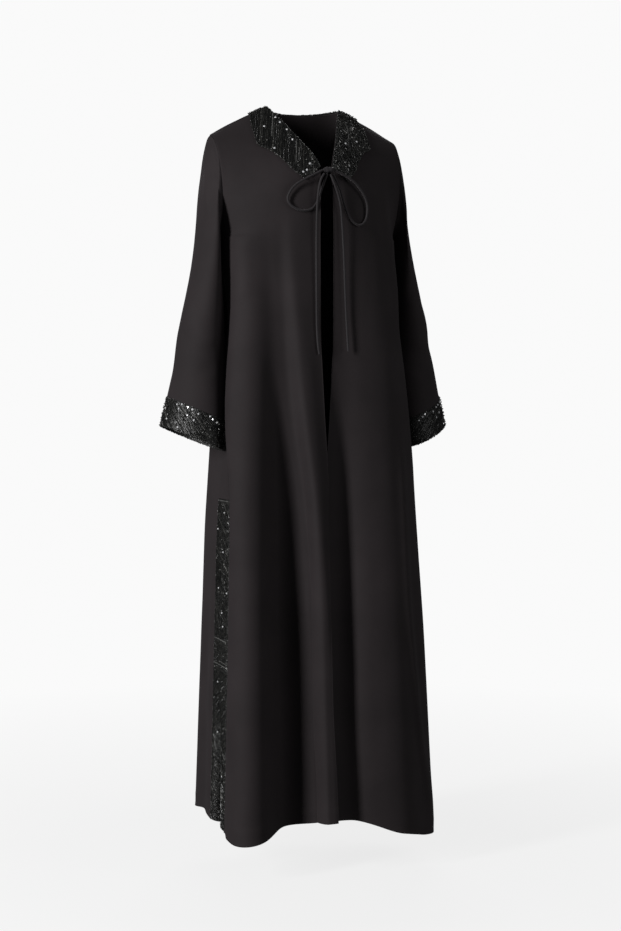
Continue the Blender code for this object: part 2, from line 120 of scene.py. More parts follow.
links.new(blended.outputs[0], nodes["Material Output"].inputs[0])
floor.data.materials.append(paper)
floor.visible_diffuse = False  # so the paper doesn't light the cloth from below
floor.visible_glossy = False

# ---------------------------------------------------------------------------------------------
# The tie: two lengths of round crepe tube, sewn under the collar's front corners and tied in a
# bow with two loops and two long tails. Each loop and tail is a limp cord that hangs on the chest.

CORD = 0.0045  # diameter of the tube
TIES = {
    "bow_loop_right": (
        (-0.0140, -0.1425, -0.1368),
        (-0.0300, -0.1405, -0.1450),
        (-0.0495, -0.1385, -0.1549),
        (-0.0660, -0.1355, -0.1650),
        (-0.0775, -0.1335, -0.1770),
        (-0.0845, -0.1320, -0.1935),
        (-0.0800, -0.1330, -0.2060),
        (-0.0660, -0.1350, -0.2150),
        (-0.0500, -0.1365, -0.2180),
        (-0.0340, -0.1375, -0.2135),
        (-0.0220, -0.1380, -0.1980),
        (-0.0140, -0.1385, -0.1760),
        (-0.0070, -0.1400, -0.1560),
        (-0.0025, -0.1420, -0.1432),
    ),
    "bow_loop_left": (
        (0.0140, -0.1425, -0.1368),
        (0.0260, -0.1412, -0.1415),
        (0.0400, -0.1400, -0.1475),
        (0.0594, -0.1385, -0.1590),
        (0.0770, -0.1345, -0.1770),
        (0.0865, -0.1325, -0.1930),
        (0.0900, -0.1320, -0.2090),
        (0.0875, -0.1325, -0.2290),
        (0.0790, -0.1345, -0.2410),
        (0.0680, -0.1360, -0.2440),
        (0.0560, -0.1370, -0.2380),
        (0.0440, -0.1380, -0.2230),
        (0.0350, -0.1385, -0.2020),
        (0.0265, -0.1390, -0.1760),
        (0.0175, -0.1400, -0.1570),
        (0.0105, -0.1415, -0.1448),
    ),
    "tie_tail_right": (
        (-0.0100, -0.1440, -0.1432),
        (-0.0165, -0.1445, -0.1530),
        (-0.0210, -0.1445, -0.1680),
        (-0.0240, -0.1440, -0.1900),
        (-0.0255, -0.1430, -0.2200),
        (-0.0262, -0.1428, -0.2600),
        (-0.0268, -0.1435, -0.3000),
        (-0.0272, -0.1448, -0.3500),
        (-0.0276, -0.1465, -0.4000),
        (-0.0278, -0.1485, -0.4500),
        (-0.0262, -0.1500, -0.4850),
        (-0.0235, -0.1505, -0.5060),
    ),
    "tie_tail_left": (
        (0.0035, -0.1440, -0.1440),
        (0.0085, -0.1448, -0.1560),
        (0.0150, -0.1448, -0.1720),
        (0.0215, -0.1440, -0.1900),
        (0.0270, -0.1432, -0.2150),
        (0.0300, -0.1428, -0.2500),
        (0.0325, -0.1430, -0.2900),
        (0.0340, -0.1438, -0.3300),
        (0.0352, -0.1450, -0.3750),
        (0.0366, -0.1465, -0.4200),
        (0.0384, -0.1485, -0.4650),
        (0.0400, -0.1500, -0.5000),
    ),
}


def steps(first, last, count):
    return [first + (last - first) * k / count for k in range(count + 1)]


def smooth_route(points, spacing):
    """Evenly spaced points on a smooth curve through the route's own points, and its length."""
    knots = [Vector(p) for p in points]
    knots = [2 * knots[0] - knots[1], *knots, 2 * knots[-1] - knots[-2]]
    fine = []
    for a, b, c, d in zip(knots, knots[1:], knots[2:], knots[3:]):
        for t in steps(0, 1, 16)[:-1]:
            fine.append(0.5 * (2 * b + (c - a) * t + (2 * a - 5 * b + 4 * c - d) * t**2
                               + (3 * b - a - 3 * c + d) * t**3))
    fine.append(knots[-2])
    lengths = [0.0]
    for a, b in zip(fine, fine[1:]):
        lengths.append(lengths[-1] + (b - a).length)
    route = []
    for place in steps(0, lengths[-1], round(lengths[-1] / spacing)):
        k = max(i for i in range(len(fine) - 1) if lengths[i] <= place)
        route.append(fine[k].lerp(fine[k + 1], (place - lengths[k]) / (lengths[k + 1] - lengths[k])))
    return route, lengths[-1]


def crepe(name, colour, grain, depth, sheen, roughness):
    """Crepe: a matt twisted-yarn cloth with a fine pebbled surface and a soft bloom at its edges.
    grain is the size of the pebbles and depth how far they stand up."""
    made = bpy.data.materials.new(name)
    made.use_nodes = True
    nodes, links = made.node_tree.nodes, made.node_tree.links
    shader = nodes["Principled BSDF"]
    shader.inputs["Sheen Weight"].default_value = sheen
    shader.inputs["Sheen Roughness"].default_value = 0.45
    shader.inputs["Sheen Tint"].default_value = (0.93, 0.86, 0.90, 1)
    shader.inputs["IOR"].default_value = 1.34
    where = nodes.new("ShaderNodeTexCoord")

    pebbles = nodes.new("ShaderNodeTexNoise")  # the crinkle of the twisted yarns
    pebbles.inputs["Scale"].default_value = 1 / grain
    pebbles.inputs["Detail"].default_value = 3
    pebbles.inputs["Roughness"].default_value = 0.65
    cells = nodes.new("ShaderNodeTexVoronoi")
    cells.inputs["Scale"].default_value = 0.8 / grain
    cloud = nodes.new("ShaderNodeTexNoise")  # slow change of dye and handling over the cloth
    cloud.inputs["Scale"].default_value = 9
    cloud.inputs["Detail"].default_value = 4
    for texture in (pebbles, cells, cloud):
        links.new(where.outputs["Object"], texture.inputs["Vector"])

    height = nodes.new("ShaderNodeMath")
    height.operation = "SUBTRACT"
    links.new(pebbles.outputs["Fac"], height.inputs[0])
    links.new(cells.outputs["Distance"], height.inputs[1])
    bump = nodes.new("ShaderNodeBump")
    bump.inputs["Strength"].default_value = 0.55
    bump.inputs["Distance"].default_value = depth
    links.new(height.outputs[0], bump.inputs["Height"])
    links.new(bump.outputs[0], shader.inputs["Normal"])

    tone = nodes.new("ShaderNodeMath")
    tone.operation = "MULTIPLY_ADD"
    tone.inputs[1].default_value = 0.45
    links.new(height.outputs[0], tone.inputs[0])
    links.new(cloud.outputs["Fac"], tone.inputs[2])
    ramp = nodes.new("ShaderNodeValToRGB")
    ramp.color_ramp.elements[0].position = 0.25
    ramp.color_ramp.elements[1].position = 0.80
    for element, share in zip(ramp.color_ramp.elements, (0.78, 1.18)):
        element.color = (*[channel * share for channel in colour], 1)
    links.new(tone.outputs[0], ramp.inputs["Fac"])
    links.new(ramp.outputs["Color"], shader.inputs["Base Color"])
    rough = nodes.new("ShaderNodeMapRange")
    rough.inputs["To Min"].default_value = roughness - 0.08
    rough.inputs["To Max"].default_value = roughness + 0.06
    links.new(pebbles.outputs["Fac"], rough.inputs["Value"])
    links.new(rough.outputs["Result"], shader.inputs["Roughness"])
    return made


tie_crepe = crepe("tie_crepe", (0.026, 0.023, 0.025), 0.0006, 0.00018, 0.20, 0.72)

# The knot: the two ends crossed and drawn tight round each other, a spindle with slanting grooves.
KNOT = Vector((0.0, -0.1425, -0.1355))
KNOT_HALF = (0.0130, 0.0050, 0.0055)
bpy.ops.mesh.primitive_uv_sphere_add(segments=48, ring_count=28, radius=1, rotation=(0, math.pi / 2, 0))
knot = bpy.context.object
knot.name = "tie_knot_wrapped"
bpy.ops.object.transform_apply(location=False, rotation=True, scale=False)
for vertex in knot.data.vertices:
    x, y, z = vertex.co
    turn = math.atan2(z, y)
    groove = abs(math.sin(math.pi * (1.45 * x + 0.16 * math.sin(turn + 0.6)))) ** 0.55
    strand = 0.80 + 0.24 * groove - 0.05 * math.sin(3 * turn + 4 * x)
    vertex.co = KNOT + Vector((x * KNOT_HALF[0], y * strand * KNOT_HALF[1] * 1.05,
                               z * strand * KNOT_HALF[2] * 1.05))
knot.data.materials.append(tie_crepe)
bpy.ops.object.shade_smooth()
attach(knot, "root")
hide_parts("tie_knot")

for name, points in TIES.items():
    route, length = smooth_route(points, 0.0045)
    curve = bpy.data.curves.new(name + "_tube", "CURVE")
    curve.dimensions = "3D"
    curve.bevel_depth = CORD / 2
    curve.bevel_resolution = 4
    curve.use_fill_caps = True
    spline = curve.splines.new("POLY")
    spline.points.add(len(route) - 1)
    for k, (spot, point) in enumerate(zip(spline.points, route)):
        spot.co = (*point, 1)
        spot.radius = 1 + 0.05 * noise.noise(Vector((0.9 * k, length * 50, 0)))
    curve.materials.append(tie_crepe)
    tube = bpy.data.objects.new(name + "_tube", curve)
    bpy.context.scene.collection.objects.link(tube)
    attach(tube, "root")
    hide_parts(name)

# ---------------------------------------------------------------------------------------------
# Front panels: one long piece of crepe on each side, from the shoulder seam to the hem, sewn to
# the back along the shoulder and the side. The edges and the hem are turned in and blind stitched.

CREPE = 0.0012  # thickness of the crepe, and of its edges where they are turned in
TURNED_EDGE = 0.0021
SEAM = 0.0003
MITRE = 0.0017
UNDERARM = -0.27
STRIP_TOP = -0.80
NECK_HALF = 0.080
BACK_SHARE = 0.86
SHOULDER_CURVE = 1.2
ARMHOLE_FLATTENING = 38
YOKE_BLEND = 0.45

# A level section of the body: half width, depth in front and behind, how square each of those two
# halves is, and the sideways lean.
Ring = namedtuple("Ring", "z half_width front back square back_square lean")
RINGS = (
    Ring(-0.27, 0.190, 0.134, 0.125, 2.6, 2.6, 0.000),
    Ring(-0.45, 0.196, 0.142, 0.128, 2.9, 2.5, 0.001),
    Ring(-0.60, 0.203, 0.148, 0.132, 3.1, 2.4, 0.004),
    Ring(-0.80, 0.214, 0.156, 0.145, 3.2, 2.3, 0.010),
    Ring(-1.02, 0.224, 0.166, 0.162, 3.1, 2.3, 0.015),
    Ring(-1.25, 0.234, 0.176, 0.180, 3.0, 2.3, 0.018),
    Ring(-1.50, 0.243, 0.186, 0.198, 2.9, 2.4, 0.021),
)

# The front edge from the neck point (down 0) to the underarm's height (down 1).
Edge = namedtuple("Edge", "down x y z square")
FRONT_EDGE = (
    Edge(0.00, 0.0800, 0.000, 0.000, 2.0),
    Edge(0.15, 0.0650, -0.028, -0.024, 2.0),
    Edge(0.30, 0.0500, -0.060, -0.054, 2.0),
    Edge(0.45, 0.0340, -0.090, -0.084, 2.1),
    Edge(0.58, 0.0200, -0.114, -0.111, 2.2),
    Edge(0.68, 0.0125, -0.127, -0.136, 2.4),
    Edge(0.84, 0.0135, -0.133, -0.200, 2.5),
    Edge(1.00, 0.0150, -0.134, -0.270, 2.6),
)

# Half of the gap between the two front edges, and how far their middle has swung sideways.
Gap = namedtuple("Gap", "z half swing")
FRONT_GAP = (
    Gap(-0.27, 0.0150, 0.000),
    Gap(-0.45, 0.0150, -0.003),
    Gap(-0.60, 0.0090, -0.008),
    Gap(-0.78, 0.0014, -0.016),
    Gap(-1.02, 0.0012, -0.026),
    Gap(-1.20, 0.0012, -0.026),
    Gap(-1.38, 0.0020, -0.021),
    Gap(-1.50, 0.0065, -0.016),
)

# Folds that run down to the hem: angle round the ring where each begins and at the hem (0 is the
# front edge, 90 the wearer's left side, 180 the back), half width in degrees, depth (out is plus),
# the height where it begins and the height where it is full.
Fold = namedtuple("Fold", "begins at_hem half depth top full")
FOLDS = (
    Fold(-11, -8, 7, 0.010, -0.35, -1.10),
    Fold(-29, -25, 9, -0.028, -0.28, -1.25),
    Fold(-50, -45, 10, 0.014, -0.45, -1.15),
    Fold(-70, -70, 4, -0.013, -1.12, -1.40),
    Fold(-92, -97, 9, -0.008, -0.70, -1.20),
    Fold(-118, -124, 13, 0.006, -0.35, -1.20),
    Fold(-148, -150, 11, -0.020, -0.28, -1.20),
    Fold(180, 178, 14, 0.014, -0.28, -1.15),
    Fold(150, 146, 12, -0.018, -0.30, -1.10),
    Fold(120, 118, 12, 0.010, -0.40, -1.20),
    Fold(92, 96, 9, -0.009, -0.70, -1.15),
    Fold(70, 70, 4, -0.012, -1.12, -1.40),
    Fold(52, 50, 7, 0.010, -0.60, -1.20),
    Fold(28, 27, 11, 0.010, -0.30, -1.10),
    Fold(9, 10, 6, -0.014, -0.40, -1.20),
)

# Where the hanging arms press the body in and push a fold out in front of them: angle, half width,
# depth, and the heights where it begins, is deepest and is gone.
Press = namedtuple("Press", "angle half depth top deepest bottom")
PRESSES = (
    Press(-90, 25, -0.034, -0.27, -0.46, -0.92),
    Press(-56, 8, 0.010, -0.30, -0.60, -0.95),
    Press(90, 25, -0.034, -0.27, -0.46, -0.92),
    Press(56, 8, 0.008, -0.30, -0.60, -0.95),
)

# The lower edge all the way round.
Hem = namedtuple("Hem", "angle z")
HEM = (
    Hem(-180, -1.458),
    Hem(-150, -1.448),
    Hem(-122, -1.462),
    Hem(-95, -1.452),
    Hem(-69, -1.466),
    Hem(-46, -1.492),
    Hem(-25, -1.466),
    Hem(-9, -1.458),
    Hem(0, -1.456),
    Hem(10, -1.458),
    Hem(28, -1.490),
    Hem(50, -1.508),
    Hem(72, -1.474),
    Hem(94, -1.454),
    Hem(120, -1.464),
    Hem(148, -1.450),
    Hem(180, -1.458),
)

# Angle of the side-front seam, which is the side panel's front edge, from the underarm (down 1)
# past the side panel's top (down 2) to the hem (down 3).
Seam = namedtuple("Seam", "down angle")
SIDE_SEAM = (
    Seam(1.0, 90),
    Seam(1.4, 78),
    Seam(1.7, 66),
    Seam(2.0, 58),
    Seam(2.5, 59),
    Seam(3.0, 61),
)

# Loops of the wearer's left sleeve: the outer and the inner point, half of the depth across them,
# how far that depth has turned from the front towards the outside, and how much higher its front is.
Loop = namedtuple("Loop", "along ox oy oz ix iy iz half_depth turn tilt")
SLEEVE = (
    Loop(0.00, 0.2030, 0.000, -0.060, 0.1900, 0.000, -0.270, 0.056, 0, 0.000),
    Loop(0.05, 0.2060, 0.000, -0.078, 0.1980, 0.000, -0.272, 0.059, 0, 0.000),
    Loop(0.14, 0.2100, 0.000, -0.118, 0.2010, 0.000, -0.293, 0.063, 1, 0.000),
    Loop(0.30, 0.2180, 0.002, -0.205, 0.1940, -0.004, -0.350, 0.068, 4, 0.000),
    Loop(0.50, 0.2330, 0.006, -0.320, 0.1850, -0.018, -0.428, 0.070, 12, 0.002),
    Loop(0.72, 0.2560, 0.012, -0.440, 0.1880, -0.042, -0.515, 0.061, 26, 0.005),
    Loop(1.00, 0.2910, 0.020, -0.596, 0.2070, -0.070, -0.640, 0.047, 40, 0.010),
    Loop(1.14, 0.3060, 0.022, -0.655, 0.2150, -0.076, -0.698, 0.044, 42, 0.012),
)

KNOTS = {}  # each table's column once read: its keys, its values and its slopes at them


def through(table, column, key, place):
    """Reads a column of a table at a place along its key column, on a smooth curve through the rows."""
    found = KNOTS.get((id(table), column))
    if found is None:
        pairs = sorted((getattr(row, key), getattr(row, column)) for row in table)
        keys = [pair[0] for pair in pairs]
        values = [pair[1] for pair in pairs]
        slopes = [(values[k + 1] - values[k]) / (keys[k + 1] - keys[k]) for k in range(len(keys) - 1)]
        tangents = [slopes[0]]
        for before, after in zip(slopes, slopes[1:]):
            tangents.append(0.0 if before * after <= 0 else 2 * before * after / (before + after))
        tangents.append(slopes[-1])
        found = KNOTS[id(table), column] = keys, values, tangents
    keys, values, tangents = found
    place = min(max(place, keys[0]), keys[-1])
    i = min(bisect.bisect_right(keys, place), len(keys) - 1) - 1
    span = keys[i + 1] - keys[i]
    t = (place - keys[i]) / span
    return (
        values[i] * (1 + 2 * t) * (1 - t) ** 2
        + values[i + 1] * t * t * (3 - 2 * t)
        + tangents[i] * span * t * (1 - t) ** 2
        - tangents[i + 1] * span * t * t * (1 - t)
    )


def ease(t):
    t = min(max(t, 0.0), 1.0)
    return t * t * (3 - 2 * t)


def arc(turn, square):
    """A point of a unit arc with squared corners: across and forward, turn in degrees from the front."""
    s = abs(math.sin(math.radians(turn)))
    c = abs(math.cos(math.radians(turn)))
    size = (s**square + c**square) ** (-1 / square)
    return s * size, c * size


def yoke_arc(across, down, square):
    """The same for a part of that arc, stretched to a whole one, so that the yoke meets the armhole
    nearly flat half-way down it and turns all the way to the side at the shoulder and the underarm."""
    reach = 90 - ARMHOLE_FLATTENING * math.sin(math.pi * down)
    sideways, forward = arc(reach * across, square)
    most, least = arc(reach, square)
    return sideways / most, (forward - least) / (1 - least)


def fold_height(angle, z):
    """How far the folds move the body out at a signed angle from the front edge."""
    total = 0.0
    for fold in FOLDS:
        grown = ease((fold.top - z) / (fold.top - fold.full))
        if grown:
            centre = fold.begins + (fold.at_hem - fold.begins) * grown
            away = (angle - centre + 180) % 360 - 180
            total += fold.depth * grown * math.exp(-((away / fold.half) ** 2))
    for press in PRESSES:
        end = press.top if z > press.deepest else press.bottom
        grown = ease((end - z) / (end - press.deepest))
        total += press.depth * grown * math.exp(-(((angle - press.angle) / press.half) ** 2))
    return total


def ring_point(side, turn, z):
    """A point of the body below the underarms: turn 0 is the front edge, 90 the side, 180 the back."""
    width = through(RINGS, "half_width", "z", z)
    lean = through(RINGS, "lean", "z", z)
    if turn < 90:
        across, along = arc(turn, through(RINGS, "square", "z", z))
        gap = through(FRONT_GAP, "half", "z", z)
        x = gap + (width - gap) * across
        y = -through(RINGS, "front", "z", z) * along
        lean += through(FRONT_GAP, "swing", "z", z) * (1 - across)
    else:
        across, along = arc(turn, through(RINGS, "back_square", "z", z))
        x = width * across
        y = through(RINGS, "back", "z", z) * along
    rise = fold_height(side * turn, z)
    x += rise * math.sin(math.radians(turn))
    y -= rise * math.cos(math.radians(turn))
    return Vector((side * x + lean, y, z))


def skirt_height(angle, down):
    """Height of a point of the skirt: down 1 at the underarm, 2 at the side panels' top, 3 at the hem."""
    if down <= 2:
        return UNDERARM + (STRIP_TOP - UNDERARM) * (down - 1)
    return STRIP_TOP + (through(HEM, "z", "angle", angle) - STRIP_TOP) * (down - 2)


def sleeve_point(along, turn):
    """A point of the left sleeve: turn 0 is the outer line, 90 the front, 180 the inner line."""
    loop = {name: through(SLEEVE, name, "along", along) for name in Loop._fields[1:]}
    outer = Vector((loop["ox"], loop["oy"], loop["oz"]))
    inner = Vector((loop["ix"], loop["iy"], loop["iz"]))
    twist = math.radians(loop["turn"])
    front = Vector((math.sin(twist), -math.cos(twist), 0)) * loop["half_depth"]
    front.z = loop["tilt"]
    angle = math.radians(turn)
    return (outer + inner) / 2 + (outer - inner) / 2 * math.cos(angle) + front * math.sin(angle)


def front_point(side, across, down):
    """A point of a front panel: across 0 at the front edge and 1 at the armhole and side seam."""
    if down >= 1:
        turn = across * through(SIDE_SEAM, "angle", "down", down)
        return ring_point(side, turn, skirt_height(side * turn, down))
    edge = {name: through(FRONT_EDGE, name, "down", down) for name in Edge._fields[1:]}
    arm = sleeve_point(0, 180 * down)
    sideways, forward = yoke_arc(across, down, edge["square"])
    x = edge["x"] + (arm.x - edge["x"]) * sideways
    y = arm.y + (edge["y"] - arm.y) * forward
    return Vector((side * x, y, edge["z"] + (arm.z - edge["z"]) * sideways**SHOULDER_CURVE))


# A crease pressed or pulled into the cloth: the two ends of its line, half width and depth.
Crease = namedtuple("Crease", "x y z to_x to_y to_z half depth")
FRONT_CREASES = (
    Crease(-0.166, -0.087, -0.269, -0.167, -0.097, -0.398, 0.022, 0.004),
)

# Long folds of a front panel, from the top down: where each lies at a height, its half width
# towards the side seam and towards the front edge, and how far it stands out (or sinks in).
Hang = namedtuple("Hang", "z x outer inner depth")
HANGS = {
    "right": (
        (Hang(-0.30, -0.159, 0.030, 0.030, 0.000), Hang(-0.46, -0.162, 0.034, 0.034, 0.007),
         Hang(-0.60, -0.165, 0.036, 0.034, 0.012), Hang(-0.80, -0.170, 0.036, 0.036, 0.017),
         Hang(-1.00, -0.174, 0.034, 0.038, 0.019), Hang(-1.20, -0.177, 0.032, 0.038, 0.020),
         Hang(-1.52, -0.180, 0.030, 0.038, 0.020)),
        (Hang(-0.20, -0.116, 0.028, 0.030, 0.000), Hang(-0.30, -0.114, 0.032, 0.030, -0.008),
         Hang(-0.42, -0.108, 0.036, 0.030, -0.013), Hang(-0.54, -0.101, 0.040, 0.029, -0.018),
         Hang(-0.66, -0.088, 0.045, 0.027, -0.022), Hang(-0.80, -0.070, 0.054, 0.024, -0.027),
         Hang(-1.00, -0.056, 0.062, 0.020, -0.034), Hang(-1.20, -0.046, 0.064, 0.016, -0.039),
         Hang(-1.40, -0.042, 0.065, 0.015, -0.041), Hang(-1.52, -0.040, 0.065, 0.015, -0.041)),
        (Hang(-0.30, -0.073, 0.024, 0.030, 0.000), Hang(-0.60, -0.052, 0.022, 0.030, 0.006),
         Hang(-0.80, -0.032, 0.020, 0.030, 0.008), Hang(-1.00, -0.018, 0.016, 0.030, 0.008),
         Hang(-1.20, -0.008, 0.014, 0.030, 0.008), Hang(-1.52, -0.002, 0.012, 0.030, 0.008)),
    ),
    "left": (
        (Hang(-0.24, 0.020, 0.030, 0.040, 0.000), Hang(-0.34, 0.016, 0.030, 0.040, -0.004),
         Hang(-0.60, 0.014, 0.040, 0.050, -0.008), Hang(-0.80, 0.010, 0.044, 0.060, -0.012),
         Hang(-1.00, 0.004, 0.046, 0.060, -0.015), Hang(-1.20, 0.000, 0.044, 0.060, -0.017),
         Hang(-1.52, -0.004, 0.044, 0.060, -0.018)),
        (Hang(-0.30, 0.130, 0.045, 0.060, 0.000), Hang(-0.50, 0.140, 0.050, 0.060, 0.006),
         Hang(-0.80, 0.150, 0.055, 0.065, 0.011), Hang(-1.20, 0.160, 0.060, 0.070, 0.013),
         Hang(-1.52, 0.170, 0.060, 0.070, 0.012)),
        (Hang(-0.64, 0.156, 0.012, 0.010, 0.000), Hang(-0.80, 0.158, 0.014, 0.010, 0.004),
         Hang(-1.01, 0.163, 0.014, 0.010, 0.005), Hang(-1.16, 0.177, 0.014, 0.010, 0.006),
         Hang(-1.31, 0.196, 0.014, 0.010, 0.006), Hang(-1.44, 0.224, 0.014, 0.010, 0.004),
         Hang(-1.52, 0.236, 0.014, 0.010, 0.000)),
        (Hang(-0.16, 0.140, 0.010, 0.010, 0.000), Hang(-0.22, 0.146, 0.012, 0.010, 0.004),
         Hang(-0.36, 0.166, 0.012, 0.012, 0.005), Hang(-0.46, 0.178, 0.014, 0.014, 0.000)),
    ),
}
# How far the left front's edge passes behind the right one, by height.
Lap = namedtuple("Lap", "z width")
LAPS = (Lap(-0.78, 0.000), Lap(-1.00, 0.006), Lap(-1.25, 0.012), Lap(-1.40, 0.018), Lap(-1.52, 0.028))


def hung(grid, side, folds, fade):
    """How far each point of a panel moves out for its long folds, less where the columns fade."""
    total = np.zeros(grid.shape[:2])
    for fold in folds:
        for r, row in enumerate(grid):
            for c, (x, _, z) in enumerate(row):
                if not fold[-1].z <= z <= fold[0].z:
                    continue
                here = {name: through(fold, name, "z", z) for name in Hang._fields[1:]}
                away = x - here["x"]
                outside = away * side > 0
                away /= here["outer"] if outside else here["inner"]
                power = 2 if here["depth"] > 0 else 2.3 if outside else 4
                total[r, c] += here["depth"] * math.exp(-(abs(away) ** power))
    return total * np.asarray(fade)


def lapped(grid):
    """Draws the left front's edge across behind the right one towards the hem."""
    edge = grid[:, :1, :]
    for r, row in enumerate(grid):
        z = row[0][2]
        if z < LAPS[0].z:
            width = through(LAPS, "width", "z", max(z, LAPS[-1].z))
            away = np.linalg.norm(row - edge[r], axis=1) / 0.055
            row[:, 0] -= width * np.exp(-away * away)
    return grid


def normals_of(grid):
    """Outward directions of a grid of points, row by row."""
    across = np.gradient(grid, axis=1)
    down = np.gradient(grid, axis=0)
    normal = np.cross(across, down)
    normal /= np.linalg.norm(normal, axis=2, keepdims=True) + 1e-12
    return normal


def facing_out(grid):
    """The same, all turned away from the upright line through the middle of the body."""
    normal = normals_of(grid)
    outward = grid * (1, 1, 0) + (0, 0, 0.03)
    return normal * np.sign((normal * outward).sum() or 1)


def creased(grid, creases):
    """How far each point moves out for the creases near it, fading towards the ends of each."""
    total = np.zeros(grid.shape[:2])
    for crease in creases:
        start = np.array((crease.x, crease.y, crease.z))
        line = np.array((crease.to_x, crease.to_y, crease.to_z)) - start
        along = ((grid - start) @ line) / (line @ line)
        nearest = start + np.clip(along, 0, 1)[..., None] * line
        away = np.linalg.norm(grid - nearest, axis=2) / crease.half
        ends = np.clip(np.minimum(along, 1 - along) * 4 + 0.35, 0, 1)
        total += crease.depth * np.exp(-(away**2)) * ends * ends * (3 - 2 * ends)
    return total


def handled(grid, amount=1.0):
    """The slow unevenness of hanging cloth, drawn out down its length: millimetres at most."""
    total = np.zeros(grid.shape[:2])
    for r, row in enumerate(grid):
        for c, (x, y, z) in enumerate(row):
            total[r, c] = (0.0013 * noise.noise(Vector((x * 13, y * 13, z * 2.6 + 7)))
                           + 0.0005 * noise.noise(Vector((x * 34, y * 34, z * 9 + 3))))
    return total * amount


def relaxed(grid, creases=(), amount=1.0):
    """A grid of points with its creases and its unevenness."""
    normal = facing_out(grid)
    return grid + normal * (creased(grid, creases) + handled(grid, amount))[..., None]


def sewn_edge(grid, edge, widths, dip):
    """Draws one edge of a grid in for the seam's gap, and rolls it a little into the seam."""
    normal = facing_out(grid)
    lines = {"top": (grid, 0, 1), "first": (grid.swapaxes(0, 1), 0, 1), "last": (grid.swapaxes(0, 1), -1, -2)}
    rows, outer, inner = lines[edge]
    step = rows[inner] - rows[outer]
    step /= np.linalg.norm(step, axis=1, keepdims=True) + 1e-12
    rows[outer] += step * np.asarray(widths).reshape(-1, 1)
    turned = normal if edge == "top" else normal.swapaxes(0, 1)
    rows[outer] -= turned[outer] * dip


def cloth(name, grid, finish, thickness, edge_thickness, closed=False, dropped=()):
    """A sheet of cloth on a grid of points. Its outline is as thick as the turned edges are."""
    tall, wide = grid.shape[:2]
    bpy.ops.mesh.primitive_grid_add(x_subdivisions=wide - 1, y_subdivisions=tall - 1, size=1)
    piece = bpy.context.object
    piece.name = name
    mesh = piece.data
    mesh.vertices.foreach_set("co", grid.astype(np.float32).ravel())
    border = {r * wide + c for r in range(tall) for c in range(wide)
              if r in (0, tall - 1) or (not closed and c in (0, wide - 1))}
    thick = piece.vertex_groups.new(name="edge")
    thick.add(sorted(border), 1.0, "REPLACE")
    bpy.ops.object.mode_set(mode="EDIT")
    bpy.ops.mesh.select_all(action="SELECT" if closed else "DESELECT")
    if closed:
        bpy.ops.mesh.remove_doubles(threshold=1e-6)
    bpy.ops.object.mode_set(mode="OBJECT")
    if len(dropped):
        for index in dropped:
            mesh.polygons[index].select = True
        bpy.ops.object.mode_set(mode="EDIT")
        bpy.ops.mesh.select_mode(type="FACE")
        bpy.ops.mesh.delete(type="FACE")
        bpy.ops.object.mode_set(mode="OBJECT")
    wall = piece.modifiers.new("Wall", "SOLIDIFY")
    wall.thickness = edge_thickness
    wall.offset = 0
    wall.vertex_group = "edge"
    wall.thickness_vertex_group = thickness / edge_thickness
    bpy.ops.object.modifier_apply(modifier="Wall")
    piece.vertex_groups.clear()
    bpy.ops.object.shade_smooth_by_angle(angle=math.radians(50))
    mesh.materials.append(finish)
    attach(piece, "root")
    return piece


def spread(count, edge=(0.004, 0.012, 0.024)):
    """Places from 0 to 1, with a few close together at both ends, where an edge or a seam rolls."""
    inside = steps(edge[-1], 1 - edge[-1], count)
    return [0, *edge[:-1], *inside, *[1 - e for e in reversed(edge[:-1])], 1]


black_crepe = crepe("black_crepe", (0.0232, 0.0183, 0.0196), 0.0007, 0.00012, 0.05, 0.80)
DOWN = steps(0, 1, 46)[:-1] + steps(1, 2, 84)[:-1] + steps(2, 3, 104)
SIDE_GAPS = [0.0014 if down < 1.75 else 0.0006 for down in DOWN]  # the sewn line shows as a thin groove


def hem_step(grid, rows_of_hem):
    """The faint ridge on the outside where the turned-up hem ends above the lower edge."""
    normal = facing_out(grid)
    for r, share in rows_of_hem:
        grid[r] += normal[r] * share
    return grid


FRONT_FLAT = {"right": (0.36, 1.52, 0.40), "left": (0.36, 1.54, 0.40)}  # width, length, area
for side, word in ((-1, "right"), (1, "left")):
    columns = spread(84)
    grid = np.array([[front_point(side, across, down) for across in columns] for down in DOWN])
    normal = facing_out(grid)
    fade = [ease((1 - across) / 0.10) for across in columns]
    grid += normal * hung(grid, side, HANGS[word], fade)[..., None]
    if word == "left":
        grid = lapped(grid)
    grid = relaxed(grid, FRONT_CREASES, np.array(fade))
    sewn_edge(grid, "top", [MITRE / 2] * len(columns), 0.0)
    sewn_edge(grid, "last", SIDE_GAPS, 0.0006)
    grid = hem_step(grid, [(-6, 0.0001), (-5, 0.0004), (-4, 0.0002)])
    panel = cloth(f"front_panel_{word}", grid, black_crepe, CREPE, TURNED_EDGE)
    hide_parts(f"front_{word}")
    width, length, area = FRONT_FLAT[word]

# ---------------------------------------------------------------------------------------------
# Back: one piece of crepe from the shoulder seams to the hem, cut round the neck. Below the hips it
# steps in on each side to leave room for the beaded side panels that are sewn to it.

# The middle of the back from the neckline (down 0) to the underarm's height (down 1).
Spine = namedtuple("Spine", "down y z square")
BACK_MIDDLE = (
    Spine(0.00, 0.058, -0.004, 2.0),
    Spine(0.18, 0.076, -0.040, 2.0),
    Spine(0.38, 0.098, -0.090, 2.1),
    Spine(0.56, 0.113, -0.135, 2.3),
    Spine(0.70, 0.120, -0.175, 2.4),
    Spine(0.85, 0.124, -0.220, 2.5),
    Spine(1.00, 0.125, -0.270, 2.6),
)
NECK_SHARE = 0.40  # share of the back's half width inside the neck points


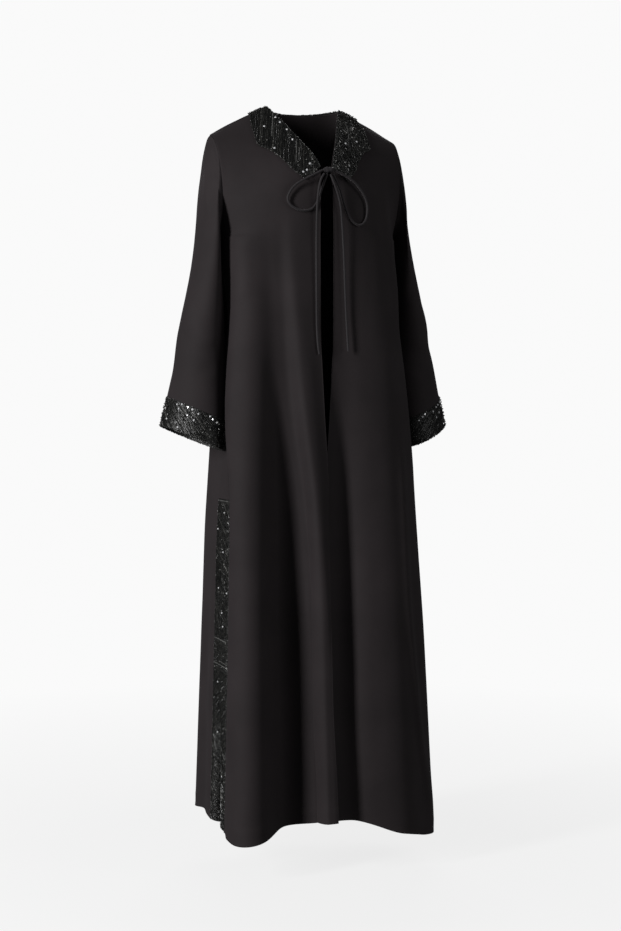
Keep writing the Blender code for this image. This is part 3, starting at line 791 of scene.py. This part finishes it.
def back_edge(across):
    """The back's upper edge: round the back of the neck, then along the shoulder seam."""
    if across <= NECK_SHARE:
        turn = math.radians(90 * across / NECK_SHARE)
        middle = BACK_MIDDLE[0]
        return Vector((NECK_HALF * math.sin(turn), middle.y * math.cos(turn), middle.z * math.cos(turn)))
    tip = sleeve_point(0, 0)
    along = (across - NECK_SHARE) / (1 - NECK_SHARE)
    return Vector((NECK_HALF + (tip.x - NECK_HALF) * along, 0, tip.z * along**SHOULDER_CURVE))


def back_point(side, across, down):
    """A point of one half of the back: across 0 down the middle, 1 at the armhole and side seam."""
    if down >= 1:
        turn = 180 - across * (180 - through(SIDE_SEAM, "angle", "down", down))
        return ring_point(side, turn, skirt_height(side * turn, down))
    middle = {name: through(BACK_MIDDLE, name, "down", down) for name in Spine._fields[1:]}
    arm = sleeve_point(0, -180 * down)
    sideways, backward = yoke_arc(across, down, middle["square"])
    point = Vector((
        arm.x * sideways,
        arm.y + (middle["y"] - arm.y) * backward,
        middle["z"] + (arm.z - middle["z"]) * sideways**SHOULDER_CURVE,
    ))
    point = back_edge(across).lerp(point, math.sin(math.pi / 2 * min(down / YOKE_BLEND, 1)))
    return Vector((side * point.x, point.y, point.z))


BACK_HANGS = (
    (Hang(-0.40, -0.120, 0.040, 0.040, 0.000), Hang(-0.80, -0.132, 0.040, 0.036, 0.008),
     Hang(-1.52, -0.150, 0.040, 0.036, 0.013)),
    (Hang(-0.34, -0.060, 0.036, 0.036, 0.000), Hang(-0.70, -0.066, 0.036, 0.036, -0.008),
     Hang(-1.52, -0.082, 0.040, 0.036, -0.015)),
    (Hang(-0.50, 0.010, 0.034, 0.034, 0.000), Hang(-0.90, 0.006, 0.034, 0.036, 0.006),
     Hang(-1.52, 0.000, 0.036, 0.040, 0.012)),
    (Hang(-0.30, 0.074, 0.034, 0.034, 0.000), Hang(-0.70, 0.082, 0.036, 0.034, -0.009),
     Hang(-1.52, 0.094, 0.040, 0.036, -0.016)),
    (Hang(-0.44, 0.136, 0.034, 0.034, 0.000), Hang(-0.90, 0.146, 0.034, 0.034, 0.007),
     Hang(-1.52, 0.166, 0.036, 0.036, 0.010)),
)
STRIP_COLUMNS = 8
half = [*steps(0, NECK_SHARE, 26)[:-1], *steps(NECK_SHARE, BACK_SHARE, 34)[:-2], 0.853,
        *steps(BACK_SHARE, 0.988, STRIP_COLUMNS - 2), 0.995, 1]
columns = [(-1, across) for across in reversed(half)] + [(1, across) for across in half[1:]]
grid = np.array([[back_point(side, across, down) for side, across in columns] for down in DOWN])
fade = [ease((BACK_SHARE - across) / 0.16) for side, across in columns]
normal = facing_out(grid)
grid += normal * hung(grid, 1, BACK_HANGS, fade)[..., None]
grid = relaxed(grid, amount=np.array([ease((1 - across) / 0.10) for side, across in columns]))
sewn_edge(grid, "top", [MITRE / 2] * len(columns), 0.0)
sewn_edge(grid, "first", SIDE_GAPS, 0.0006)
sewn_edge(grid, "last", SIDE_GAPS, 0.0006)
grid = hem_step(grid, [(-6, 0.0001), (-5, 0.0004), (-4, 0.0002)])
wide = len(columns) - 1
strip_row = DOWN.index(2)
dropped = [r * wide + c for r in range(strip_row, len(DOWN) - 1) for c in range(wide)
           if c < STRIP_COLUMNS or c >= wide - STRIP_COLUMNS]
back = cloth("back_panel", grid, black_crepe, CREPE, TURNED_EDGE, dropped=dropped)
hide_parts("back")

# ---------------------------------------------------------------------------------------------
# Sleeves: each is one piece of crepe, closed by a seam under the arm and set into the armhole. They
# hang from the shoulder and widen towards the wrist, with soft folds where the elbow bends.


def on_side(side, point):
    """A point of the left sleeve, put on one side of the leaning body."""
    return Vector((side * point.x + through(RINGS, "lean", "z", point.z), point.y, point.z))


def sleeve_out(grid):
    """Outward directions of a sleeve's loops, away from the middle of each."""
    closed = np.concatenate([grid[:, -2:-1], grid, grid[:, 1:2]], axis=1)
    normal = normals_of(closed)[:, 1:-1]
    normal[:, 0] = normal[:, -1]
    outward = grid - grid[:, :-1].mean(axis=1, keepdims=True)
    return normal * np.sign((normal * outward).sum())


SLEEVE_CREASES = {
    "right": (
        Crease(-0.204, -0.023, -0.076, -0.207, -0.055, -0.156, 0.010, -0.006),
        Crease(-0.207, -0.055, -0.156, -0.200, -0.051, -0.223, 0.010, -0.006),
        Crease(-0.208, 0.012, -0.089, -0.218, -0.048, -0.226, 0.014, 0.004),
        Crease(-0.222, 0.010, -0.150, -0.266, -0.015, -0.520, 0.060, 0.008),
        Crease(-0.262, -0.030, -0.400, -0.225, -0.070, -0.490, 0.022, 0.003),
        Crease(-0.270, -0.030, -0.460, -0.228, -0.075, -0.545, 0.020, -0.003),
    ),
    "left": (
        Crease(0.202, -0.058, -0.214, 0.222, -0.075, -0.392, 0.012, -0.004),
        Crease(0.262, -0.030, -0.410, 0.228, -0.070, -0.500, 0.022, 0.003),
        Crease(0.270, -0.030, -0.470, 0.230, -0.075, -0.550, 0.020, -0.003),
    ),
}
CUFF_TOP = 1.00
CUFF_END = 1.14
TURNS = steps(0, 360, 72)
SLEEVE_FLAT = (0.33, 0.62, 0.165)
for side, word in ((-1, "right"), (1, "left")):
    alongs = [0, 0.006, 0.016, *steps(0.03, CUFF_TOP - 0.012, 104), CUFF_TOP - 0.005, CUFF_TOP]
    grid = np.array([[on_side(side, sleeve_point(along, turn)) for turn in TURNS] for along in alongs])
    normal = sleeve_out(grid)
    moved = creased(grid, SLEEVE_CREASES[word]) + handled(grid)
    moved *= np.array([ease(along / 0.10) for along in alongs])[:, None]
    moved[:, -1] = moved[:, 0]
    grid += normal * moved[..., None]
    gaps = [MITRE + 0.0006 if abs((turn + 180) % 360 - 180) < 40 or abs(turn - 180) < 25 else MITRE
            for turn in TURNS]
    step = grid[1] - grid[0]
    grid[0] += step / np.linalg.norm(step, axis=1, keepdims=True) * np.array(gaps)[:, None]
    grid[0] -= normal[0] * 0.0006
    grid[:, -1] = grid[:, 0]
    sleeve = cloth(f"sleeve_panel_{word}", grid, black_crepe, CREPE, CREPE, closed=True)
    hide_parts(f"sleeve_{word}")
    width, length, area = SLEEVE_FLAT

# ---------------------------------------------------------------------------------------------
# Cuffs: a band of beaded net round the end of each sleeve. Rows of glass bugles run slantwise over
# a ground of small sequins, with loose seed beads between them and round crystals here and there.

BEADED = 0.0016  # thickness of the net on its backing


def sequin_ground(name):
    """Net closely set with tiny dark sequins: each cell of the pattern is one sequin, a little lighter
    or darker and more or less shiny than the next."""
    made = bpy.data.materials.new(name)
    made.use_nodes = True
    nodes, links = made.node_tree.nodes, made.node_tree.links
    shader = nodes["Principled BSDF"]
    where, cells = nodes.new("ShaderNodeTexCoord"), nodes.new("ShaderNodeTexVoronoi")
    cells.inputs["Scale"].default_value = 420
    links.new(where.outputs["Object"], cells.inputs["Vector"])
    one = nodes.new("ShaderNodeSeparateColor")
    links.new(cells.outputs["Color"], one.inputs["Color"])
    ramp = nodes.new("ShaderNodeValToRGB")
    ramp.color_ramp.elements[0].color = (0.004, 0.004, 0.004, 1)
    ramp.color_ramp.elements[1].color = (0.022, 0.022, 0.020, 1)
    links.new(one.outputs["Red"], ramp.inputs["Fac"])
    links.new(ramp.outputs["Color"], shader.inputs["Base Color"])
    rough = nodes.new("ShaderNodeMapRange")
    rough.inputs["To Min"].default_value = 0.22
    rough.inputs["To Max"].default_value = 0.60
    links.new(one.outputs["Green"], rough.inputs["Value"])
    links.new(rough.outputs["Result"], shader.inputs["Roughness"])
    bump = nodes.new("ShaderNodeBump")
    bump.inputs["Strength"].default_value = 0.8
    bump.inputs["Distance"].default_value = 0.0008
    bump.invert = True
    links.new(cells.outputs["Distance"], bump.inputs["Height"])
    links.new(bump.outputs[0], shader.inputs["Normal"])
    return made


def glass(name, dark, light, roughness, metallic, size):
    """Beads of one colour, each a little lighter or darker than its neighbours."""
    made = bpy.data.materials.new(name)
    made.use_nodes = True
    nodes, links = made.node_tree.nodes, made.node_tree.links
    shader = nodes["Principled BSDF"]
    shader.inputs["Metallic"].default_value = metallic
    shader.inputs["IOR"].default_value = 1.6
    where, tint = nodes.new("ShaderNodeTexCoord"), nodes.new("ShaderNodeTexNoise")
    tint.inputs["Scale"].default_value = 1 / size
    tint.inputs["Detail"].default_value = 1
    links.new(where.outputs["Object"], tint.inputs["Vector"])
    ramp = nodes.new("ShaderNodeValToRGB")
    ramp.color_ramp.elements[0].position = 0.38
    ramp.color_ramp.elements[1].position = 0.64
    ramp.color_ramp.elements[0].color = (*dark, 1)
    ramp.color_ramp.elements[1].color = (*light, 1)
    links.new(tint.outputs["Fac"], ramp.inputs["Fac"])
    links.new(ramp.outputs["Color"], shader.inputs["Base Color"])
    rough = nodes.new("ShaderNodeMapRange")
    rough.inputs["To Min"].default_value = roughness
    rough.inputs["To Max"].default_value = roughness + 0.15
    links.new(tint.outputs["Fac"], rough.inputs["Value"])
    links.new(rough.outputs["Result"], shader.inputs["Roughness"])
    return made


net = sequin_ground("sequin_net")
FINISHES = {
    "jet": glass("jet_glass", (0.005, 0.0052, 0.0050), (0.015, 0.0155, 0.0145), 0.27, 0.0, 0.004),
    "grey": glass("grey_lined_glass", (0.020, 0.020, 0.0185), (0.062, 0.061, 0.056), 0.32, 0.30, 0.005),
    "silver": glass("silver_lined_glass", (0.16, 0.16, 0.155), (0.34, 0.34, 0.325), 0.25, 0.45, 0.006),
    # Crystals: their near-white base colour is a painted glint. It is added to the real reflections of their
    # shiny faces, so they show white whatever the light.
    "crystal": glass("crystal_painted_white_glint", (0.84, 0.85, 0.87), (0.96, 0.96, 0.97), 0.10, 0.35, 0.004),
}


def bead_shape(kind):
    """Corners and faces of one bead, lying along X with its back to -Z."""
    bpy.ops.object.select_all(action="DESELECT")
    if kind == "bugle":  # a cut length of fine glass tube
        bpy.ops.mesh.primitive_cylinder_add(vertices=6, radius=0.00075, depth=0.0044,
                                            rotation=(0, math.pi / 2, 0))
    elif kind == "seed":
        bpy.ops.mesh.primitive_ico_sphere_add(subdivisions=1, radius=0.0012)
    elif kind == "sequin":  # a cupped disc
        bpy.ops.mesh.primitive_cone_add(vertices=8, radius1=0.0018, radius2=0.0007, depth=0.0005)
    else:  # a crystal, cut flat on top and set in a low collar
        bpy.ops.mesh.primitive_cone_add(vertices=8, radius1=0.0024, radius2=0.0013, depth=0.0013)
    shape = bpy.context.object
    bpy.ops.object.transform_apply(location=True, rotation=True, scale=True)
    corners = np.array([v.co for v in shape.data.vertices])
    faces = [list(p.vertices) for p in shape.data.polygons]
    bpy.data.objects.remove(shape)
    return corners, faces


SHAPES = {kind: bead_shape(kind) for kind in ("bugle", "seed", "sequin", "crystal")}
STANDS = {"bugle": 0.00080, "seed": 0.0011, "sequin": 0.0004, "crystal": 0.0018}


def on_cloth(grid, u, v):
    """A point of a grid of points at a share of its width and height, with the directions across it,
    down it and out of it. Past the edges the last cell carries on."""
    tall, wide = grid.shape[0] - 1, grid.shape[1] - 1
    x, y = u * wide, v * tall
    c, r = min(max(int(x), 0), wide - 1), min(max(int(y), 0), tall - 1)
    a, b, d, e = grid[r, c], grid[r, c + 1], grid[r + 1, c], grid[r + 1, c + 1]
    x, y = x - c, y - r
    across = ((b - a) * (1 - y) + (e - d) * y) * wide
    down = ((d - a) * (1 - x) + (e - b) * x) * tall
    point = a * (1 - x) * (1 - y) + b * x * (1 - y) + d * (1 - x) * y + e * x * y
    out = np.cross(across, down)
    return point, across, down, out / np.linalg.norm(out)


def step_along(across, down, way, length):
    """The change of u and v that moves a length over the cloth in a direction."""
    aa, ad, dd = across @ across, across @ down, down @ down
    wa, wd = way @ across, way @ down
    det = aa * dd - ad * ad
    du, dv = (wa * dd - wd * ad) / det, (wd * aa - wa * ad) / det
    moved = np.linalg.norm(across * du + down * dv)
    return du * length / moved, dv * length / moved


class Rows:
    """The beads of one trim piece: what has been sewn where, so that no row lies on another."""

    def __init__(self, grid, flip, seed):
        self.grid = grid
        self.flip = flip
        self.random = random.Random(seed)
        self.taken = {}
        self.sewn = {}

    def cell(self, point):
        return tuple(int(math.floor(x / 0.004)) for x in point)

    def near(self, point, distance):
        a, b, c = self.cell(point)
        for i in (a - 1, a, a + 1):
            for j in (b - 1, b, b + 1):
                for k in (c - 1, c, c + 1):
                    for other in self.taken.get((i, j, k), ()):
                        if (sum((x - y) ** 2 for x, y in zip(point, other))) < distance * distance:
                            return True
        return False

    def take(self, point):
        self.taken.setdefault(self.cell(point), []).append(tuple(point))

    def sew(self, kind, finish, point, way, out, size=1.0, tip=0.0):
        """Puts one bead on the cloth, along a direction, tipped up by an angle."""
        out = out * self.flip
        way = way - out * (way @ out)
        way = way / np.linalg.norm(way)
        side = np.cross(out, way)
        up = out * math.cos(tip) + side * math.sin(tip)
        side = np.cross(up, way)
        place = point + out * (BEADED / 2 + STANDS[kind] * size)
        self.sewn.setdefault((kind, finish), []).append((place, way, side, up, size))

    def line(self, u, v, heading, kinds, pitch, longest=1.0, clear=True):
        """One row of beads that follows a heading from a start until it meets an edge or a row."""
        kind, finish = kinds
        length = {"bugle": 0.0050, "seed": 0.0027, "sequin": 0.0027}[kind]
        phase, run, made, taken = self.random.uniform(0, 6.3), 0.0, [], []
        while run < longest:
            point, across, down, out = on_cloth(self.grid, u, v)
            way = heading(point, across, down, run, phase)
            way = way - out * (way @ out)
            du, dv = step_along(across, down, way, length)
            u, v = u + du, v + dv
            if not (0 <= u <= 1 and 0 <= v <= 1):
                break
            middle, across, down, out = on_cloth(self.grid, u - du / 2, v - dv / 2)
            if clear and self.near(middle, 0.80 * pitch):
                break
            made.append((middle, across * du + down * dv, out))
            taken += [on_cloth(self.grid, u - du * s, v - dv * s)[0] for s in (0.15, 0.5, 0.85)]
            run += length
        for middle, way, out in made:
            slip = self.random.gauss(0, 0.00018)
            self.sew(kind, finish, middle + np.cross(out, way / np.linalg.norm(way)) * slip, way, out,
                     self.random.uniform(0.9, 1.08), self.random.gauss(0, 0.25))
        for point in taken:
            self.take(point)

    def fill(self, heading, pitch, mixture, share=(0, 1, 0, 1), order=(0, 0, -1), break_up=0.03):
        """Covers a share of the cloth (u from, u to, v from, v to) with rows a pitch apart."""
        u0, u1, v0, v1 = share
        wide = np.linalg.norm(np.diff(self.grid[len(self.grid) // 2], axis=0), axis=1).sum()
        tall = np.linalg.norm(np.diff(self.grid[:, self.grid.shape[1] // 2], axis=0), axis=1).sum()
        starts = []
        for i in range(int(wide * (u1 - u0) / 0.0018) + 1):
            for j in range(int(tall * (v1 - v0) / 0.0018) + 1):
                u = u0 + i * 0.0018 / wide
                v = v0 + j * 0.0018 / tall
                starts.append((float(on_cloth(self.grid, u, v)[0] @ np.array(order)), u, v))
        starts.sort()
        kinds, weights = [k for k, w in mixture], [w for k, w in mixture]

        for _, u, v in starts:
            point = on_cloth(self.grid, u, v)[0]
            if not self.near(point, pitch):
                longest = self.random.expovariate(break_up) if break_up else 1.0
                self.line(u, v, heading, self.random.choices(kinds, weights)[0], pitch, longest)

    def border(self, edges, gap=0.0024):
        """Seed beads whipped round the edges, every few of them bigger or tipped out."""
        for from_, to in edges:
            places = [on_cloth(self.grid, from_[0] + (to[0] - from_[0]) * t,
                               from_[1] + (to[1] - from_[1]) * t) for t in steps(0, 1, 200)]
            run = 0.0
            for (a, *_), (b, across, down, out) in zip(places, places[1:]):
                run += np.linalg.norm(b - a)
                if run >= gap:
                    run -= gap * self.random.uniform(0.8, 1.25)
                    kind = self.random.choice(("seed", "seed", "bugle", "sequin"))
                    way = across * self.random.uniform(-1, 1) + down * self.random.uniform(-1, 1)
                    self.sew(kind, self.random.choice(("jet", "jet", "grey")), b, way, out,
                             self.random.uniform(0.8, 1.15), self.random.gauss(0, 0.6))

    def scatter(self, count):
        """Loose seed beads and sequins sewn on top of the rows, which make the surface uneven."""
        for _ in range(count):
            u, v = self.random.random(), self.random.random()
            point, across, down, out = on_cloth(self.grid, u, v)
            kind, finish = self.random.choice((("seed", "jet"), ("seed", "jet"), ("seed", "grey"),
                                               ("sequin", "grey"), ("seed", "silver")))
            way = across * self.random.uniform(-1, 1) + down * self.random.uniform(-1, 1)
            lifted = point + out * self.flip * self.random.uniform(0.0006, 0.0018)
            self.sew(kind, finish, lifted, way, out,
                     self.random.uniform(0.9, 1.35), self.random.gauss(0, 0.7))

    def finish(self, name):
        """Joins the beads of each shape and colour into one piece."""
        pieces = []
        for (kind, finish), beads in sorted(self.sewn.items()):
            corners, faces = SHAPES[kind]
            placed = [place + size * (corners[:, :1] * way + corners[:, 1:2] * side + corners[:, 2:] * up)
                      for place, way, side, up, size in beads]
            mesh = bpy.data.meshes.new(f"{name}_{finish}_{kind}s")
            every = [[k * len(corners) + corner for corner in face]
                     for k in range(len(beads)) for face in faces]
            mesh.from_pydata(np.concatenate(placed).tolist(), [], every)
            mesh.materials.append(FINISHES[finish])
            piece = bpy.data.objects.new(mesh.name, mesh)
            bpy.context.scene.collection.objects.link(piece)
            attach(piece, "root")
            pieces.append(piece)
        return pieces


def slanted(along, down_share, sway=0.12):
    """A heading over the cloth itself: a share across it and a share down it, swaying a little."""
    def heading(point, across, down, run, phase):
        a, d = across / np.linalg.norm(across), down / np.linalg.norm(down)
        return a * (along + sway * math.sin(run / 0.006 + phase)) + d * down_share
    return heading


def trim_cloth(name, node, grid, closed=False):
    """A band of beaded net on crepe, in the place of its CAD node."""
    band = cloth(name, grid, net, BEADED, BEADED, closed=closed)
    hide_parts(node)
    return band


CUFF_CRYSTALS = ((0.195, 0.10), (0.225, 0.04), (0.262, 0.05), (0.285, 0.07), (0.21, 0.22), (0.264, 0.32),
                 (0.319, 0.14), (0.30, 0.41), (0.222, 0.86), (0.385, 0.06), (0.403, 0.12), (0.431, 0.18),
                 (0.10, 0.35), (0.14, 0.70), (0.52, 0.45), (0.62, 0.20), (0.70, 0.65), (0.81, 0.30),
                 (0.93, 0.60))
for side, word in ((-1, "right"), (1, "left")):
    turns = steps(0, 360, 72)
    alongs = steps(CUFF_TOP, CUFF_END, 22)
    grid = np.array([[on_side(side, sleeve_point(along, turn)) for turn in turns] for along in alongs])
    normal = sleeve_out(grid)
    moved = creased(grid, SLEEVE_CREASES[word]) + handled(grid)
    moved[:, -1] = moved[:, 0]
    grid += normal * moved[..., None]
    step = grid[1] - grid[0]
    grid[0] += step / np.linalg.norm(step, axis=1, keepdims=True) * SEAM
    grid[:, -1] = grid[:, 0]
    band = trim_cloth(f"cuff_band_{word}", f"cuff_{word}", grid, closed=True)
    rows = Rows(grid, np.sign((normals_of(grid) * normal).sum()), 11 + side)
    for u, v in CUFF_CRYSTALS:
        point, across, down, out = on_cloth(grid, u, v)
        rows.sew("crystal", "crystal", point, across, out, 1.0)
        for s in steps(0, 5, 5):
            rows.take(point + across / np.linalg.norm(across) * 0.002 * math.cos(s) +
                      down / np.linalg.norm(down) * 0.002 * math.sin(s))
    mixture = ((("bugle", "jet"), 4), (("bugle", "grey"), 1), (("seed", "jet"), 4), (("seed", "grey"), 1),
               (("sequin", "grey"), 1))
    rows.fill(slanted(0.75, 0.66), 0.0026, mixture, break_up=30, order=(side * 0.3, 0, -1))
    rows.border((((0, 0), (1, 0)), ((0, 1), (1, 1))))
    rows.scatter(260)
    beads = rows.finish(f"cuff_{word}")

# ---------------------------------------------------------------------------------------------
# Collar: a flat band of the same beaded net on each side of the neck, seamed at the middle of the
# back and square at its front ends. The near half's rows hang straight down, with a few bright
# silver ones, and the other half's lie closer and more mixed.

Collar = namedtuple("Collar", "along neck_across neck_down outer_across outer_down")
COLLAR_BACK = (
    Collar(0.00, 0.00, 0.00, 0.00, 0.200),
    Collar(0.18, 0.20, 0.00, 0.36, 0.170),
    Collar(0.36, 0.40, 0.00, 0.59, 0.000),
)
COLLAR_FRONT = (
    Collar(0.36, 0.00, 0.00, 0.19, 0.000),
    Collar(0.44, 0.00, 0.13, 0.36, 0.190),
    Collar(0.53, 0.00, 0.25, 0.43, 0.330),
    Collar(0.64, 0.00, 0.35, 0.35, 0.405),
    Collar(0.76, 0.00, 0.45, 0.29, 0.510),
    Collar(0.88, 0.00, 0.56, 0.245, 0.620),
    Collar(1.00, 0.00, 0.66, 0.165, 0.705),
)


def collar_point(side, along, across):
    """A point under the collar, on the panels: across 0 at the neck edge, 1 at the outer edge."""
    behind = along <= COLLAR_BACK[-1].along
    table = COLLAR_BACK if behind else COLLAR_FRONT
    here = {name: through(table, name, "along", along) for name in Collar._fields[1:]}
    sideways = here["neck_across"] + (here["outer_across"] - here["neck_across"]) * across
    down = here["neck_down"] + (here["outer_down"] - here["neck_down"]) * across
    return (back_point if behind else front_point)(side, sideways, down)


def hanging(sideways, forward, sway):
    """A heading straight down, slipping sideways and off the shoulder towards the front or back."""
    def heading(point, across, down, run, phase):
        front = -1 if point[1] < 0.001 else 1
        return np.array((sideways + sway * math.sin(run / 0.007 + phase), front * forward, -1.0))
    return heading


COLLAR_CRYSTALS = {  # share across from the neck edge, share along from the middle of the back
    "right": ((0.083, 0.373), (0.083, 0.418), (0.083, 0.500), (0.583, 0.391), (0.875, 0.609), (0.375, 0.918),
              (0.208, 0.627), (0.667, 0.945), (0.833, 0.936), (0.35, 0.12)),
    "left": ((0.60, 0.50), (0.35, 0.62), (0.70, 0.85), (0.45, 0.10)),
}
SILVER_ROWS = {  # share across and along where each starts, and its length
    "right": ((0.80, 0.200, 0.020), (0.042, 0.336, 0.066), (0.083, 0.645, 0.058), (0.250, 0.736, 0.021)),
    "left": ((0.30, 0.400, 0.040),),
}
shoulder = COLLAR_BACK[-1].along
for side, word in ((-1, "right"), (1, "left")):
    alongs = steps(0, shoulder, 30)[:-1] + steps(shoulder, 1, 80)
    acrosses = steps(0, 1, 24)
    grid = np.array([[collar_point(side, along, across) for across in acrosses] for along in alongs])
    normal = facing_out(grid)
    raised = np.array([0.0039 - 0.0012 * across for across in acrosses])
    grid = grid + normal * (raised[None, :] + handled(grid))[..., None]
    step = grid[1] - grid[0]
    grid[0] += step / np.linalg.norm(step, axis=1, keepdims=True) * SEAM / 2
    band = trim_cloth(f"collar_band_{word}", f"collar_{word}", grid)
    rows = Rows(grid, np.sign((normals_of(grid) * facing_out(grid)).sum()), 31 + side)
    for across, along in COLLAR_CRYSTALS[word]:
        point, a, d, out = on_cloth(grid, across, along)
        rows.sew("crystal", "crystal", point, a, out, 1.05)
        rows.take(point)
    for across, along, length in SILVER_ROWS[word]:
        rows.line(across, along, hanging(-0.24, 0.5, 0.0), ("bugle", "silver"), 0.003, length, clear=False)
    if word == "right":
        mixture = ((("bugle", "jet"), 6), (("bugle", "grey"), 1.3), (("seed", "jet"), 2),
                   (("sequin", "grey"), 0.6))
        rows.fill(hanging(-0.24, 0.5, 0.10), 0.0025, mixture, break_up=18)
    else:
        mixture = ((("bugle", "jet"), 4), (("bugle", "grey"), 2.5), (("seed", "grey"), 2),
                   (("sequin", "grey"), 2), (("sequin", "jet"), 1))
        rows.fill(hanging(0.42, 0.4, 0.35), 0.0026, mixture, break_up=45)
    rows.border((((0, 0), (0, 1)), ((1, 0), (1, 1)), ((0, 1), (1, 1))))
    rows.scatter(60 if word == "right" else 170)
    beads = rows.finish(f"collar_{word}")

# ---------------------------------------------------------------------------------------------
# Side panels: a narrow strip of the beaded net let into each side from the hip to the hem, in
# blocks of slanting, feathered and level rows, with a bright row across it at the top and half-way.
# A pleat opens down its middle towards the hem.

Block = namedtuple("Block", "begins ends near_slant far_slant")
BLOCKS = (
    Block(0.010, 0.165, 0.75, 0.75),
    Block(0.165, 0.250, -0.60, 0.70),
    Block(0.250, 0.420, 0.80, -0.70),
    Block(0.440, 0.520, 9.0, 9.0),
    Block(0.520, 0.680, -0.75, -0.75),
    Block(0.680, 0.840, 0.70, -0.70),
    Block(0.840, 1.000, 0.65, 0.65),
)
BRIGHT_ROWS = (0.006, 0.428, 0.505)
PLEAT_STARTS, PLEAT_DEPTH = 2.58, 0.015  # place down the cloak, and metres inwards at the hem
STRIP_CRYSTALS = ((0.69, 0.04), (0.13, 0.093), (0.63, 0.16), (0.31, 0.273), (0.90, 0.28), (0.60, 0.345),
                  (0.69, 0.385), (0.40, 0.56), (0.28, 0.72), (0.80, 0.84))
for side, word in ((-1, "right"), (1, "left")):
    downs = steps(2, 3, 150)
    columns = steps(BACK_SHARE, 1, 16)
    grid = np.array([[back_point(side, across, down) for across in columns] for down in downs])
    grid = relaxed(grid)
    sewn_edge(grid, "top", [MITRE / 2] * len(columns), 0.0008)
    sewn_edge(grid, "first", [MITRE / 2] * len(grid), 0.0010)
    sewn_edge(grid, "last", [MITRE / 2] * len(grid), 0.0010)
    normal = facing_out(grid)
    for r, down in enumerate(downs):
        open_ = ease((down - PLEAT_STARTS) / 0.30)
        for c, across in enumerate(steps(0, 1, 16)):
            grid[r, c] -= normal[r, c] * PLEAT_DEPTH * open_ * math.exp(-(((across - 0.5) / 0.10) ** 2))
    band = trim_cloth(f"side_band_{word}", f"side_panel_{word}", grid)
    rows = Rows(grid, np.sign((normals_of(grid) * facing_out(grid)).sum()), 51 + side)
    for u, v in STRIP_CRYSTALS:
        point, a, d, out = on_cloth(grid, u, v)
        rows.sew("crystal", "crystal", point, a, out, 0.85)
        rows.take(point)
    for v in BRIGHT_ROWS:
        rows.line(0.0, v, slanted(1, 0, 0), ("bugle", "silver"), 0.003, 0.2, clear=False)
    mixture = ((("bugle", "jet"), 5), (("bugle", "grey"), 3.6), (("bugle", "silver"), 0.12),
               (("seed", "jet"), 1.2))
    for block in BLOCKS:
        for u0, u1, slant in ((0, 0.5, block.near_slant), (0.5, 1, block.far_slant)):
            level = slant > 5
            heading = slanted(1, 0.03, 0.03) if level else slanted(slant, 0.7)
            rows.fill(heading, 0.0027, mixture, share=(u0, u1, block.begins, block.ends),
                      order=(side, 0, 0) if level else (0, 0, -1), break_up=25)
    rows.border((((0, 0), (0, 1)), ((1, 0), (1, 1))), gap=0.004)
    rows.scatter(110)
    beads = rows.finish(f"side_{word}")
